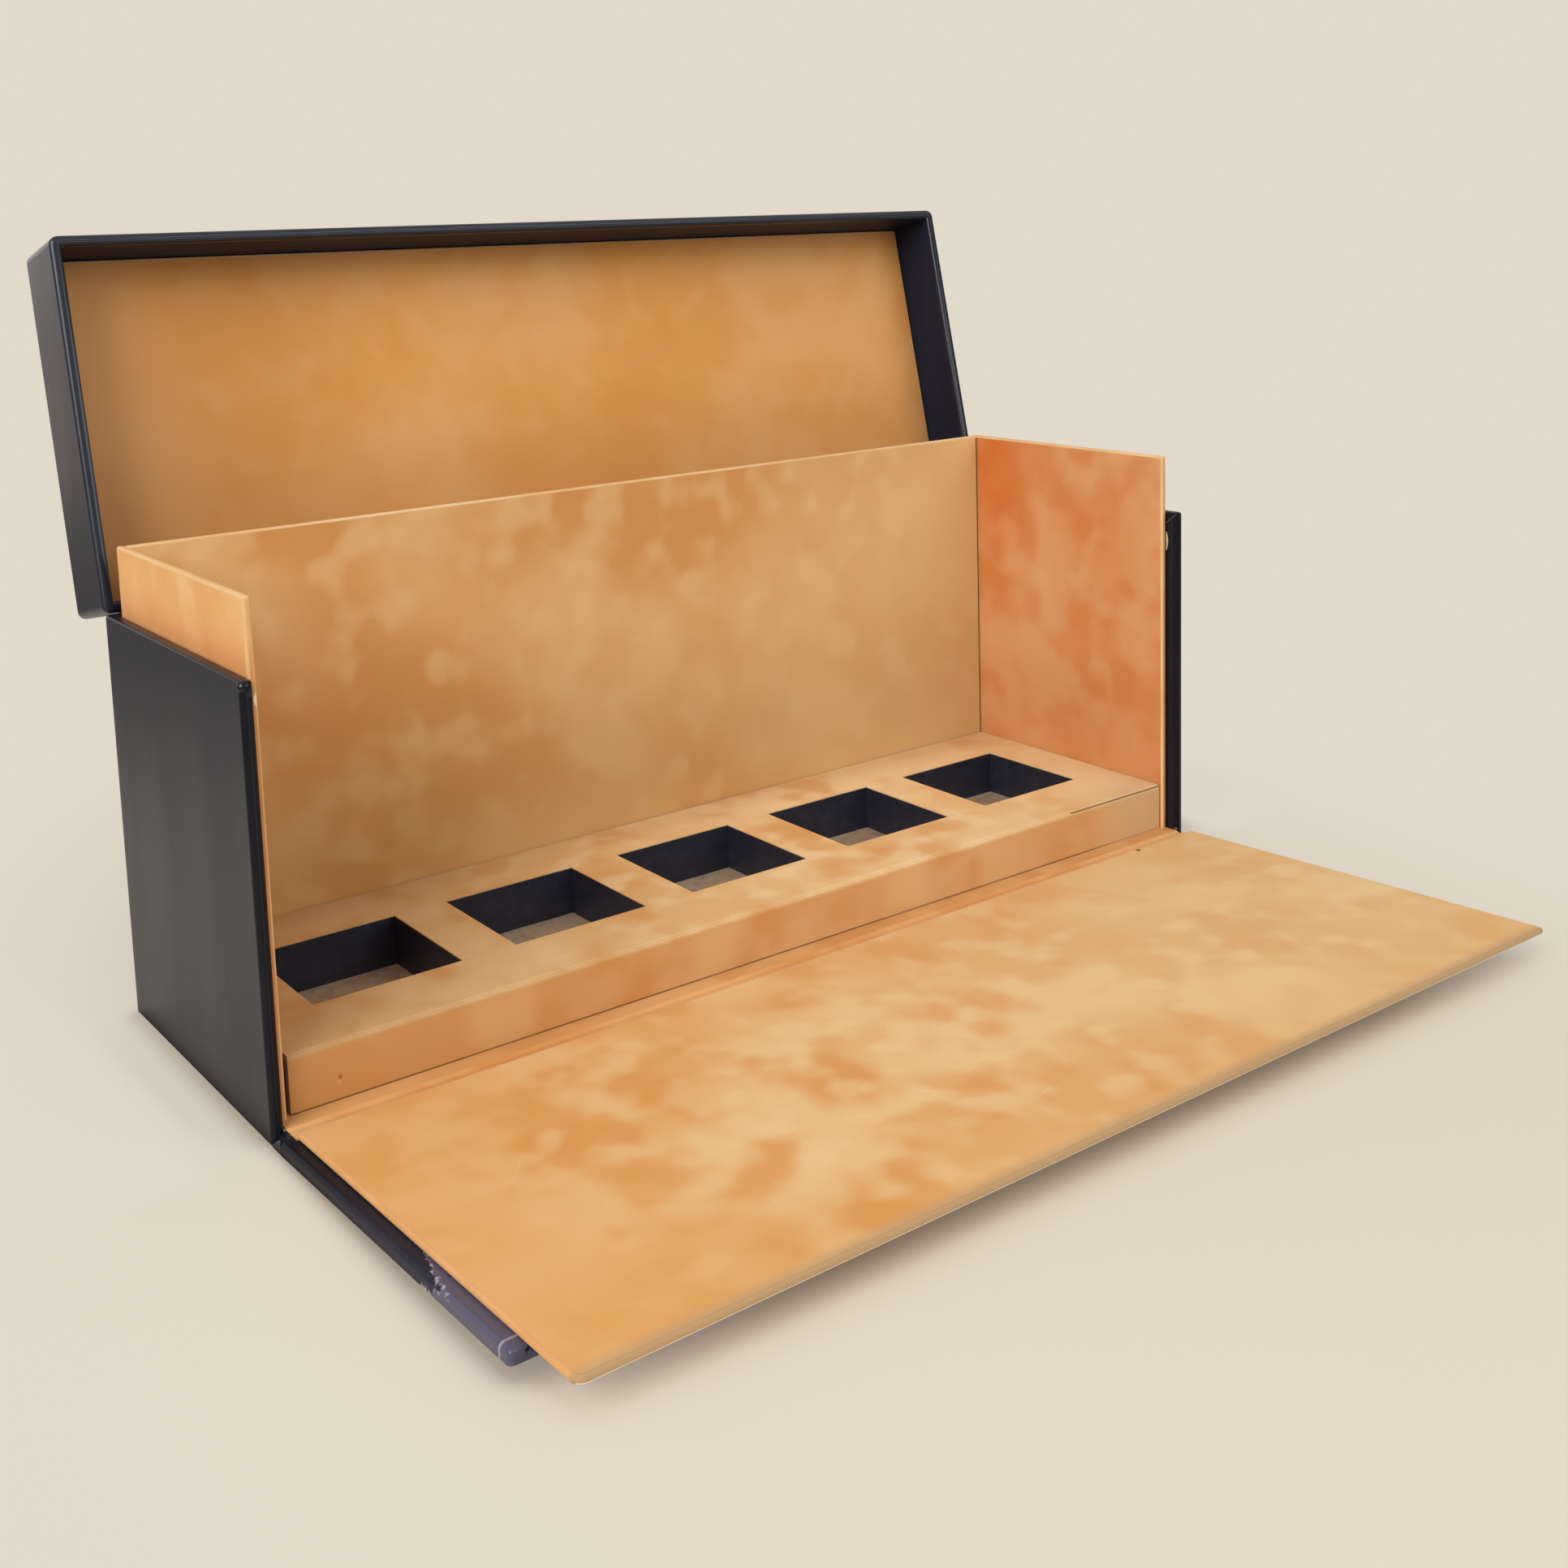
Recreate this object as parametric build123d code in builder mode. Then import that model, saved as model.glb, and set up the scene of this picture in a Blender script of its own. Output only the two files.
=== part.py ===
"""Rigid perfume box with a hinged lid, a drop-front flap and five square bottle pockets.

Greyboard panels carry the shape. Dark leatherette paper covers them outside and turns in over
every rim, and suede paper lines the inside. A thinner neck of suede-covered boards stands above
the case walls. The lid drops over the neck and holds the flap shut.

X runs along the box, -Y points to the open front and +Z up. The origin is in the middle of the
underside of the case. The lid is drawn standing open and the flap lowered in front, where its
new fold still lifts it a little off the table.
"""

import os
from math import cos, hypot, radians, sin, tan

from build123d import *

os.makedirs("parts", exist_ok=True)


# Driving dimensions, in millimetres

# Boards and papers
board = 2.0  # greyboard of the case, lid and flap
neck_board = 1.0  # thinner board of the neck
deck_board = 1.5  # folded board of the bottle platform
lining_board = 2.5  # backing of the lid's lining panel
sleeve_card = 0.6  # dark card of the pocket sleeves
floor_card = 0.5  # grey card that closes the platform below
leatherette = 0.2  # dark outer paper
suede = 0.25  # lining paper

# Case
case_width = 240.0
case_depth = 74.0  # back face to the side walls' front edges
case_height = 84.0
turn_in = 15.0  # how far the outer paper is turned in past an edge
base_sheet_margin = 1.2  # the sheet under the case stops short of its edges

# Neck
neck_rise = 14.0  # how far the neck stands above the case walls
neck_gap = 0.25  # paste line between neck and wall, and the lid's running clearance
neck_setback = 3.2  # side panels' front edges, behind the walls' front edges
neck_turn_in = 12.0  # suede turned over to the outside, below the case rim
neck_joint = 0.1  # dark joint line between the back and side panels

# Bottle platform
platform_height = 14.0
fascia_setback = 4.0  # platform's front face, behind the walls' front edges
platform_left_gap = 1.0
platform_right_gap = 0.25
platform_back_gap = 0.3
pocket_count = 5
pocket_size = 31.6
pocket_end_margin = 12.2  # outer pockets to the platform's ends
pocket_back_shift = 0.6  # pockets sit this far behind the platform's middle

# Lid
lid_height = 19.5
lid_open_angle = 102.5
rim_gap = 0.2  # closed lid above the case rim
swing_clearance = 0.1  # lid front past the neck's top edge as it swings
lining_margin = 0.4

# Front flap
flap_lift_angle = 2.0  # left by the springy fold of the open flap
closing_gap = 0.2  # closed flap in front of the side walls
neck_side_clearance = 0.2  # neck front panel between the side walls
neck_floor_clearance = 0.2  # closed neck front panel above the floor lining

# Hinges
hinge_reach = 4.0  # lid hinge strip on each side of the fold
hinge_inset = 3.0  # lid hinge strip stops short of the corners

# Rounding of the papers over the board edges
leatherette_round = 3 * leatherette
suede_round = 2 * suede
fold_round = 3 * suede  # folded front edge of the bottle platform


# Sizes that follow from them

wall = board + 2 * leatherette
neck_wall = neck_board + 2 * suede
half_width = case_width / 2
front = -case_depth / 2
back = case_depth / 2

base_board_foot = 2 * leatherette
base_board_top = base_board_foot + board
floor_top = base_board_top + suede
neck_top = case_height + neck_rise

wall_inner = half_width - wall
neck_outer = wall_inner - neck_gap
neck_inner = neck_outer - neck_wall
neck_back_outer = back - wall - neck_gap
neck_back_inner = neck_back_outer - neck_wall
neck_front = front + neck_setback

platform_front = front + fascia_setback
platform_back = neck_back_inner - platform_back_gap
platform_left = -neck_inner + platform_left_gap
platform_right = neck_inner - platform_right_gap
platform_width = platform_right - platform_left
platform_x = (platform_left + platform_right) / 2
pocket_pitch = (platform_width - 2 * pocket_end_margin - pocket_size) / (pocket_count - 1)
pocket_y = (platform_front + platform_back) / 2 + pocket_back_shift
sleeve_outer = pocket_size + 2 * sleeve_card
sleeve_foot = floor_top + floor_card

flap_hinge_y = front - closing_gap - wall + leatherette
flap_hinge_z = leatherette
flap_length = case_height - flap_hinge_z
flap_rise = wall - flap_hinge_z  # flap's inner face above its fold
flap_panel_start = floor_top + neck_floor_clearance - flap_hinge_z
flap_panel_end = neck_top - flap_hinge_z
flap_panel_width = case_width - 2 * (wall + neck_side_clearance)

lid_reach = hypot(case_depth + closing_gap, neck_rise) + swing_clearance
lid_depth = lid_reach + wall
lid_inside_top = rim_gap + lid_height - wall
lid_middle = -lid_depth / 2

# The lid is drawn closed on this plane, which stands on the hinge line and leans back
lid_lean = radians(lid_open_angle)
lid_plane = Plane(
    origin=(0, back, case_height),
    x_dir=(1, 0, 0),
    z_dir=(0, sin(lid_lean), cos(lid_lean)),
)
lid_up = Axis(lid_plane.origin, lid_plane.z_dir)

# The flap is drawn lying flat on this plane, which stands on its fold and lifts its front edge
flap_lift = radians(flap_lift_angle)
flap_plane = Plane(
    origin=(0, flap_hinge_y, flap_hinge_z),
    x_dir=(1, 0, 0),
    z_dir=(0, sin(flap_lift), cos(flap_lift)),
)


def save(piece, name):
    """Label a finished piece and write its file."""
    piece.part.label = name
    export_step(piece.part, f"parts/{name}.step")
    print(f"{name}: {piece.part.volume:.0f} cubic mm")


def panel(name, plane, left, right, near, far, thickness):
    """A flat rectangular piece lying on a plane, between two x and two y values."""
    with BuildPart() as piece:
        with BuildSketch(plane):
            with Locations(((left + right) / 2, (near + far) / 2)):
                Rectangle(right - left, far - near)
        extrude(amount=thickness)
    save(piece, name)
    return piece.part


# Case boards: a floor between three walls

case_board_height = case_height - leatherette - base_board_foot
board_outer = half_width - leatherette
board_inner = board_outer - board
board_back = back - leatherette
base_plane = Plane.XY.offset(base_board_foot)

base_board = panel(
    "base_board", base_plane, -board_inner, board_inner, front, board_back - board, board
)
back_board = panel(
    "back_board", base_plane, -board_inner, board_inner, board_back - board, board_back,
    case_board_height,
)
left_board = panel(
    "left_board", base_plane, -board_outer, -board_inner, front + leatherette, board_back,
    case_board_height,
)
right_board = panel(
    "right_board", base_plane, board_inner, board_outer, front + leatherette, board_back,
    case_board_height,
)


# Lid hinge strip: leatherette pasted on both backs and folded at the hinge line

hinge_half = half_width - hinge_inset
with BuildPart() as lid_hinge_strip:
    with BuildSketch(Plane.XY.offset(case_height - hinge_reach)):
        with Locations((0, back - leatherette / 2)):
            Rectangle(2 * hinge_half, leatherette)
    extrude(amount=hinge_reach)
    with BuildSketch(lid_plane):
        with Locations((0, -leatherette / 2)):
            Rectangle(2 * hinge_half, leatherette)
    extrude(amount=hinge_reach)
    with BuildSketch(Plane.YZ.offset(-hinge_half)):
        with Locations((back, case_height)):
            Circle(leatherette)
    extrude(amount=2 * hinge_half)
save(lid_hinge_strip, "lid_hinge_strip")


# Case wrap: one paper over three walls, turned in at the rim and front edges and turned under

with BuildPart() as case_wrap:
    with BuildSketch(Plane.XY.offset(leatherette)):
        Rectangle(case_width, case_depth)
        with Locations((0, -wall)):
            Rectangle(2 * wall_inner, case_depth, mode=Mode.SUBTRACT)
    extrude(amount=case_height - leatherette)
    rims = case_wrap.edges().group_by(Axis.Z)[-1]
    uprights = case_wrap.edges().filter_by(Axis.Z)
    back_corners = uprights.group_by(Axis.Y)[-1]
    front_edges = uprights.group_by(Axis.Y)[0]
    fillet(rims + back_corners + front_edges, radius=leatherette_round)
    with BuildSketch(Plane.XY.offset(leatherette)):
        with Locations((0, leatherette)):
            Rectangle(2 * board_outer, case_depth - 2 * leatherette)
        with Locations((0, -turn_in)):
            Rectangle(case_width - 2 * turn_in, case_depth, mode=Mode.SUBTRACT)
    extrude(amount=leatherette)
    for covered in (base_board, back_board, left_board, right_board):
        add(covered, mode=Mode.SUBTRACT)
    with BuildSketch(Plane.XY.offset(base_board_foot)):
        with Locations((0, turn_in)):
            Rectangle(2 * board_inner, case_depth)
    extrude(amount=case_height - turn_in - base_board_foot, mode=Mode.SUBTRACT)
    add(lid_hinge_strip.part, mode=Mode.SUBTRACT)
save(case_wrap, "case_wrap")


# Base sheet: covers the underside, bridges the flap's groove and is what the case stands on

base_half = half_width - base_sheet_margin
panel(
    "base_sheet", Plane.XY, -base_half, base_half, flap_hinge_y, back - base_sheet_margin,
    leatherette,
)


# Floor lining on the base board

panel(
    "floor_lining", Plane.XY.offset(base_board_top), -neck_outer, neck_outer, front,
    neck_back_outer, suede,
)


# Neck boards and their suede covers

neck_height = neck_top - floor_top
neck_plane = Plane.XY.offset(floor_top)
neck_cover_foot = case_height - neck_turn_in

neck_back_half = neck_inner - neck_joint
neck_back_board = panel(
    "neck_back_board", neck_plane, -neck_back_half, neck_back_half, neck_back_inner + suede,
    neck_back_outer - suede, neck_height - suede,
)

with BuildPart() as neck_back_cover:
    with BuildSketch(neck_plane):
        with Locations((0, (neck_back_inner + neck_back_outer) / 2)):
            Rectangle(2 * neck_back_half, neck_wall)
    extrude(amount=neck_height)
    fillet(neck_back_cover.edges().group_by(Axis.Z)[-1].filter_by(Axis.X), radius=suede_round)
    add(neck_back_board, mode=Mode.SUBTRACT)
    with BuildSketch(neck_plane):
        with Locations((0, neck_back_outer)):
            Rectangle(2 * neck_back_half, 2 * suede)
    extrude(amount=neck_cover_foot - floor_top, mode=Mode.SUBTRACT)
save(neck_back_cover, "neck_back_cover")

neck_side_depth = neck_back_outer - neck_front
for side, sign in (("left", -1), ("right", 1)):
    board_near = sign * (neck_outer - suede)
    board_far = sign * (neck_inner + suede)
    neck_side_board = panel(
        f"neck_{side}_board", neck_plane, min(board_near, board_far), max(board_near, board_far),
        neck_front + suede, neck_back_outer, neck_height - suede,
    )

    with BuildPart() as neck_side_cover:
        with BuildSketch(neck_plane):
            with Locations((sign * (neck_outer + neck_inner) / 2, neck_front + neck_side_depth / 2)):
                Rectangle(neck_wall, neck_side_depth)
        extrude(amount=neck_height)
        top_edges = neck_side_cover.edges().group_by(Axis.Z)[-1].filter_by(Axis.Y)
        front_edges = neck_side_cover.edges().filter_by(Axis.Z).group_by(Axis.Y)[0]
        fillet(top_edges + front_edges, radius=suede_round)
        add(neck_side_board, mode=Mode.SUBTRACT)
        with BuildSketch(neck_plane):
            with Locations((sign * neck_outer, neck_front + neck_turn_in + neck_side_depth / 2)):
                Rectangle(2 * suede, neck_side_depth)
        extrude(amount=neck_cover_foot - floor_top, mode=Mode.SUBTRACT)
    save(neck_side_cover, f"neck_{side}_cover")


# Bottle platform: floor card, folded deck with front and back flanges, its suede and the sleeves

deck_underside = platform_height - suede - deck_board

panel(
    "pocket_floor", Plane.XY.offset(floor_top), platform_left, platform_right,
    platform_front + suede + deck_board, platform_back - deck_board, floor_card,
)

with BuildPart() as platform_board:
    with BuildSketch(Plane.YZ.offset(platform_left)):
        with BuildLine():
            Polyline(
                (platform_front + suede, floor_top),
                (platform_front + suede, platform_height - suede),
                (platform_back, platform_height - suede),
                (platform_back, floor_top),
                (platform_back - deck_board, floor_top),
                (platform_back - deck_board, deck_underside),
                (platform_front + suede + deck_board, deck_underside),
                (platform_front + suede + deck_board, floor_top),
                close=True,
            )
        make_face()
    extrude(amount=platform_width)
    with BuildSketch(Plane.XY.offset(deck_underside)):
        with Locations((platform_x, pocket_y)):
            with GridLocations(pocket_pitch, pocket_pitch, pocket_count, 1):
                Rectangle(sleeve_outer, sleeve_outer)
    extrude(amount=deck_board, mode=Mode.SUBTRACT)
save(platform_board, "platform_board")

with BuildPart() as platform_cover:
    with BuildSketch(Plane.YZ.offset(platform_left)):
        with BuildLine():
            Polyline(
                (platform_front, floor_top),
                (platform_front, platform_height),
                (platform_back, platform_height),
                (platform_back, platform_height - suede),
                (platform_front + suede, platform_height - suede),
                (platform_front + suede, floor_top),
                close=True,
            )
        make_face()
    extrude(amount=platform_width)
    fold = platform_cover.edges().filter_by(Axis.X).group_by(Axis.Y)[0].sort_by(Axis.Z)[-1]
    fillet(fold, radius=fold_round)
    with BuildSketch(Plane.XY.offset(platform_height - suede)):
        with Locations((platform_x, pocket_y)):
            with GridLocations(pocket_pitch, pocket_pitch, pocket_count, 1):
                Rectangle(pocket_size, pocket_size)
    extrude(amount=suede, mode=Mode.SUBTRACT)
save(platform_cover, "platform_cover")

sleeve_height = platform_height - suede - sleeve_foot
for index in range(pocket_count):
    sleeve_x = platform_x + (index - (pocket_count - 1) / 2) * pocket_pitch
    with BuildPart() as pocket_sleeve:
        with BuildSketch(Plane.XY.offset(sleeve_foot)):
            with Locations((sleeve_x, pocket_y)):
                Rectangle(sleeve_outer, sleeve_outer)
                Rectangle(pocket_size, pocket_size, mode=Mode.SUBTRACT)
        extrude(amount=sleeve_height)
    save(pocket_sleeve, f"pocket_sleeve_{index + 1}")


# Lid boards, drawn closed on the lid's own plane: a top under the paper and four walls

lid_board_plane = lid_plane.offset(rim_gap + leatherette)
lid_wall_height = lid_height - 2 * leatherette - board
lid_front_face = -lid_depth + leatherette
lid_back_face = -leatherette

lid_boards = [
    panel(
        "lid_top_board", lid_plane.offset(lid_inside_top + leatherette), -board_outer,
        board_outer, lid_front_face, lid_back_face, board,
    ),
    panel(
        "lid_front_board", lid_board_plane, -board_inner, board_inner, lid_front_face,
        lid_front_face + board, lid_wall_height,
    ),
    panel(
        "lid_back_board", lid_board_plane, -board_inner, board_inner, lid_back_face - board,
        lid_back_face, lid_wall_height,
    ),
    panel(
        "lid_left_board", lid_board_plane, -board_outer, -board_inner, lid_front_face,
        lid_back_face, lid_wall_height,
    ),
    panel(
        "lid_right_board", lid_board_plane, board_inner, board_outer, lid_front_face,
        lid_back_face, lid_wall_height,
    ),
]


# Lid wrap: paper over the tray, down the inside of its walls and onto the inside of the top

with BuildPart() as lid_wrap:
    with BuildSketch(lid_plane.offset(rim_gap)):
        with Locations((0, lid_middle)):
            Rectangle(case_width, lid_depth)
    extrude(amount=lid_height)
    with BuildSketch(lid_plane.offset(rim_gap)):
        with Locations((0, lid_middle)):
            Rectangle(2 * wall_inner, lid_depth - 2 * wall)
    extrude(amount=lid_height - wall, mode=Mode.SUBTRACT)
    levels = lid_wrap.edges().filter_by(lid_up, reverse=True).group_by(lid_up)
    outer_corners = [
        edge for edge in lid_wrap.edges().filter_by(lid_up)
        if abs(edge.center().X) > wall_inner + leatherette
    ]
    fillet(levels[0] + levels[-1] + outer_corners, radius=leatherette_round)
    for covered in lid_boards:
        add(covered, mode=Mode.SUBTRACT)
    with BuildSketch(lid_plane.offset(lid_inside_top)):
        with Locations((0, lid_middle)):
            Rectangle(2 * (wall_inner - turn_in), lid_depth - 2 * (wall + turn_in))
    extrude(amount=leatherette, mode=Mode.SUBTRACT)
    add(lid_hinge_strip.part, mode=Mode.SUBTRACT)
save(lid_wrap, "lid_wrap")


# Lid lining: a board wrapped in suede, pasted to the inside of the top

lining_half = wall_inner - lining_margin
lining_far = -(wall + lining_margin)
lining_near = -lid_depth + wall + lining_margin
lid_lining_board = panel(
    "lid_lining_board", lid_plane.offset(lid_inside_top - lining_board), -lining_half + suede,
    lining_half - suede, lining_near + suede, lining_far - suede, lining_board,
)

with BuildPart() as lid_lining_cover:
    with BuildSketch(lid_plane.offset(lid_inside_top - lining_board - suede)):
        with Locations((0, (lining_near + lining_far) / 2)):
            Rectangle(2 * lining_half, lining_far - lining_near)
    extrude(amount=lining_board + suede)
    face_edges = lid_lining_cover.edges().filter_by(lid_up, reverse=True).group_by(lid_up)[0]
    corners = lid_lining_cover.edges().filter_by(lid_up)
    fillet(face_edges + corners, radius=suede_round)
    add(lid_lining_board, mode=Mode.SUBTRACT)
save(lid_lining_cover, "lid_lining_cover")


# Front flap, lying open: a board in leatherette that stands as the box's front when closed

flap_board = panel(
    "flap_board", flap_plane, -board_outer, board_outer, -flap_length + leatherette,
    -leatherette, board,
)

with BuildPart() as flap_wrap:
    with BuildSketch(flap_plane.offset(-flap_hinge_z)):
        with Locations((0, -flap_length / 2)):
            Rectangle(case_width, flap_length)
    extrude(amount=wall)
    fillet(flap_wrap.edges(), radius=leatherette_round)
    add(flap_board, mode=Mode.SUBTRACT)
    with BuildSketch(flap_plane.offset(flap_rise - leatherette)):
        with Locations((0, -flap_length / 2)):
            Rectangle(case_width - 2 * turn_in, flap_length - 2 * turn_in)
    extrude(amount=leatherette, mode=Mode.SUBTRACT)
save(flap_wrap, "flap_wrap")


# Neck front panel on the flap: suede-covered board, longer than the flap by the neck's height

panel_half = flap_panel_width / 2
panel_length = flap_panel_end - flap_panel_start
panel_middle = -(flap_panel_start + flap_panel_end) / 2
neck_front_turn_in = neck_rise + neck_turn_in
neck_front_board = panel(
    "neck_front_board", flap_plane.offset(flap_rise + suede), -panel_half + suede,
    panel_half - suede, -flap_panel_end + suede, -flap_panel_start - suede, neck_board,
)

with BuildPart() as neck_front_cover:
    with BuildSketch(flap_plane.offset(flap_rise)):
        with Locations((0, panel_middle)):
            Rectangle(flap_panel_width, panel_length)
    extrude(amount=neck_wall)
    fillet(neck_front_cover.edges(), radius=suede_round)
    add(neck_front_board, mode=Mode.SUBTRACT)
    with BuildSketch(flap_plane.offset(flap_rise)):
        with Locations((0, panel_middle)):
            Rectangle(
                flap_panel_width - 2 * neck_front_turn_in, panel_length - 2 * neck_front_turn_in
            )
    extrude(amount=suede, mode=Mode.SUBTRACT)
save(neck_front_cover, "neck_front_cover")


# Flap hinge lining: suede strip from the floor lining across the groove to the neck front panel

strip_end_foot = flap_plane.from_local_coords((0, -flap_panel_start, flap_rise))
strip_end_top = flap_plane.from_local_coords((0, -flap_panel_start, flap_rise + suede))
with BuildPart() as flap_hinge_lining:
    with BuildSketch(Plane.YZ.offset(-panel_half)):
        with BuildLine():
            Polyline(
                (front, base_board_top),
                (flap_hinge_y + flap_rise * tan(flap_lift / 2), base_board_top),
                (strip_end_foot.Y, strip_end_foot.Z),
                (strip_end_top.Y, strip_end_top.Z),
                (flap_hinge_y + (flap_rise + suede) * tan(flap_lift / 2), floor_top),
                (front, floor_top),
                close=True,
            )
        make_face()
    extrude(amount=2 * panel_half)
save(flap_hinge_lining, "flap_hinge_lining")
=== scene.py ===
# %% [markdown]
# # A rigid perfume box in leatherette and suede
#
# The box is made of greyboard panels. Dark navy leatherette paper covers them outside and golden
# suede paper lines the inside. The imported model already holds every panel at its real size, so
# this script loads it, gives each surface the finish of the real one, and models what flat solids
# can't show: folded paper edges, rolled corners, die-cut slits and the papers that bend at the
# hinges.

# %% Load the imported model
import math

import bpy
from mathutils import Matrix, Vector


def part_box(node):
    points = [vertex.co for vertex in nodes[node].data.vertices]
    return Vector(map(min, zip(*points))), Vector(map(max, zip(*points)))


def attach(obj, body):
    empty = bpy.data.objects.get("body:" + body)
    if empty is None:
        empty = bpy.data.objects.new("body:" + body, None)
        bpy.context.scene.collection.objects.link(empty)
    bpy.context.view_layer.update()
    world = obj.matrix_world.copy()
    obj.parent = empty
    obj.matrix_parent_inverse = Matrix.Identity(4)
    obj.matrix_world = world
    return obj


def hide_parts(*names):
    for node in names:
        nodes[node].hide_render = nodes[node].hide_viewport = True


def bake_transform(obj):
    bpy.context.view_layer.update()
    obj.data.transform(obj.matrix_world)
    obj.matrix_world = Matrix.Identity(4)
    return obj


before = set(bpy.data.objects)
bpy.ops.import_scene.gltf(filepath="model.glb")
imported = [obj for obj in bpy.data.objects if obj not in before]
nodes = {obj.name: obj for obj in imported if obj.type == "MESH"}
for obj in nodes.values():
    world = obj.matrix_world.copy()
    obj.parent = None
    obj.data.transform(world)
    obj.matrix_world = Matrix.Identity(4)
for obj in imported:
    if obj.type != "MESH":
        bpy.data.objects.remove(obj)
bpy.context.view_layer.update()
mm = 0.001

# %% [markdown]
# ## Colours and nodes
#
# Colours are picked as sRGB hex values, because that is how they look on a screen. Shaders work
# in linear light, so one function turns a hex value into linear numbers. A second one adds a
# shader node: its settings by name, and its inputs either as values or as links from other nodes.
# The smooth setting lets a Map Range node ease in and out instead of running straight.


# %% Colour and node helpers
def linear(hex_value):
    """Linear RGBA from an sRGB hex colour such as #d9a25c."""
    channels = [int(hex_value[i:i + 2], 16) / 255 for i in (1, 3, 5)]
    return [c / 12.92 if c <= 0.04045 else ((c + 0.055) / 1.055) ** 2.4 for c in channels] + [1.0]


def add(tree, kind, inputs=None, **settings):
    """Adds one node. inputs maps a socket's name or number to a value, another node's output, or
    another node, which stands for its first output."""
    node = tree.nodes.new("ShaderNode" + kind)
    for name, value in settings.items():
        setattr(node, name, value)
    for name, value in (inputs or {}).items():
        if isinstance(value, bpy.types.Node):
            value = value.outputs[0]
        if isinstance(value, bpy.types.NodeSocket):
            tree.links.new(value, node.inputs[name])
        else:
            node.inputs[name].default_value = value
    return node


def new_material(name):
    """An empty material, its node tree, and its Principled shader, ready for links."""
    material = bpy.data.materials.new(name)
    material.use_nodes = True
    return material, material.node_tree, material.node_tree.nodes["Principled BSDF"]


smooth = {"interpolation_type": "SMOOTHSTEP"}
print("linear tan:", [round(c, 3) for c in linear("#d9a25c")])

# %% [markdown]
# ## Suede paper
#
# Suede paper is paper with short fibres glued upright on it, called flock. Where the nap was
# stroked one way it looks pale and the other way deep. Hands and rollers left soft round patches
# from a fingertip to a palm wide, and they run together. Three noises in real millimetres draw
# them: a slow one shifts the whole sheet between deep and lighter tan, a second one is cut off
# quickly, which gives deep patches with a soft but clear outline, and a third gives smaller pale
# ones. Here and there a fingernail left a short pale line. Those lines are a contour of a slow
# noise, shown only where another noise is high. The fibres themselves are a tenth of a
# millimetre, too fine to show, so the nap is drawn about 0.7 mm coarse and very faint. Each panel
# was cut from a different part of the sheet, so the function takes its own three colours, how
# strong its deep and pale patches and its scratches are, and an offset into the pattern.


# %% Suede function
suede_cloud = 45 * mm
suede_palm = 15 * mm
suede_finger = 9 * mm
suede_nap = 0.7 * mm
suede_scratch = 38 * mm
scratch_width = 0.0022


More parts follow.
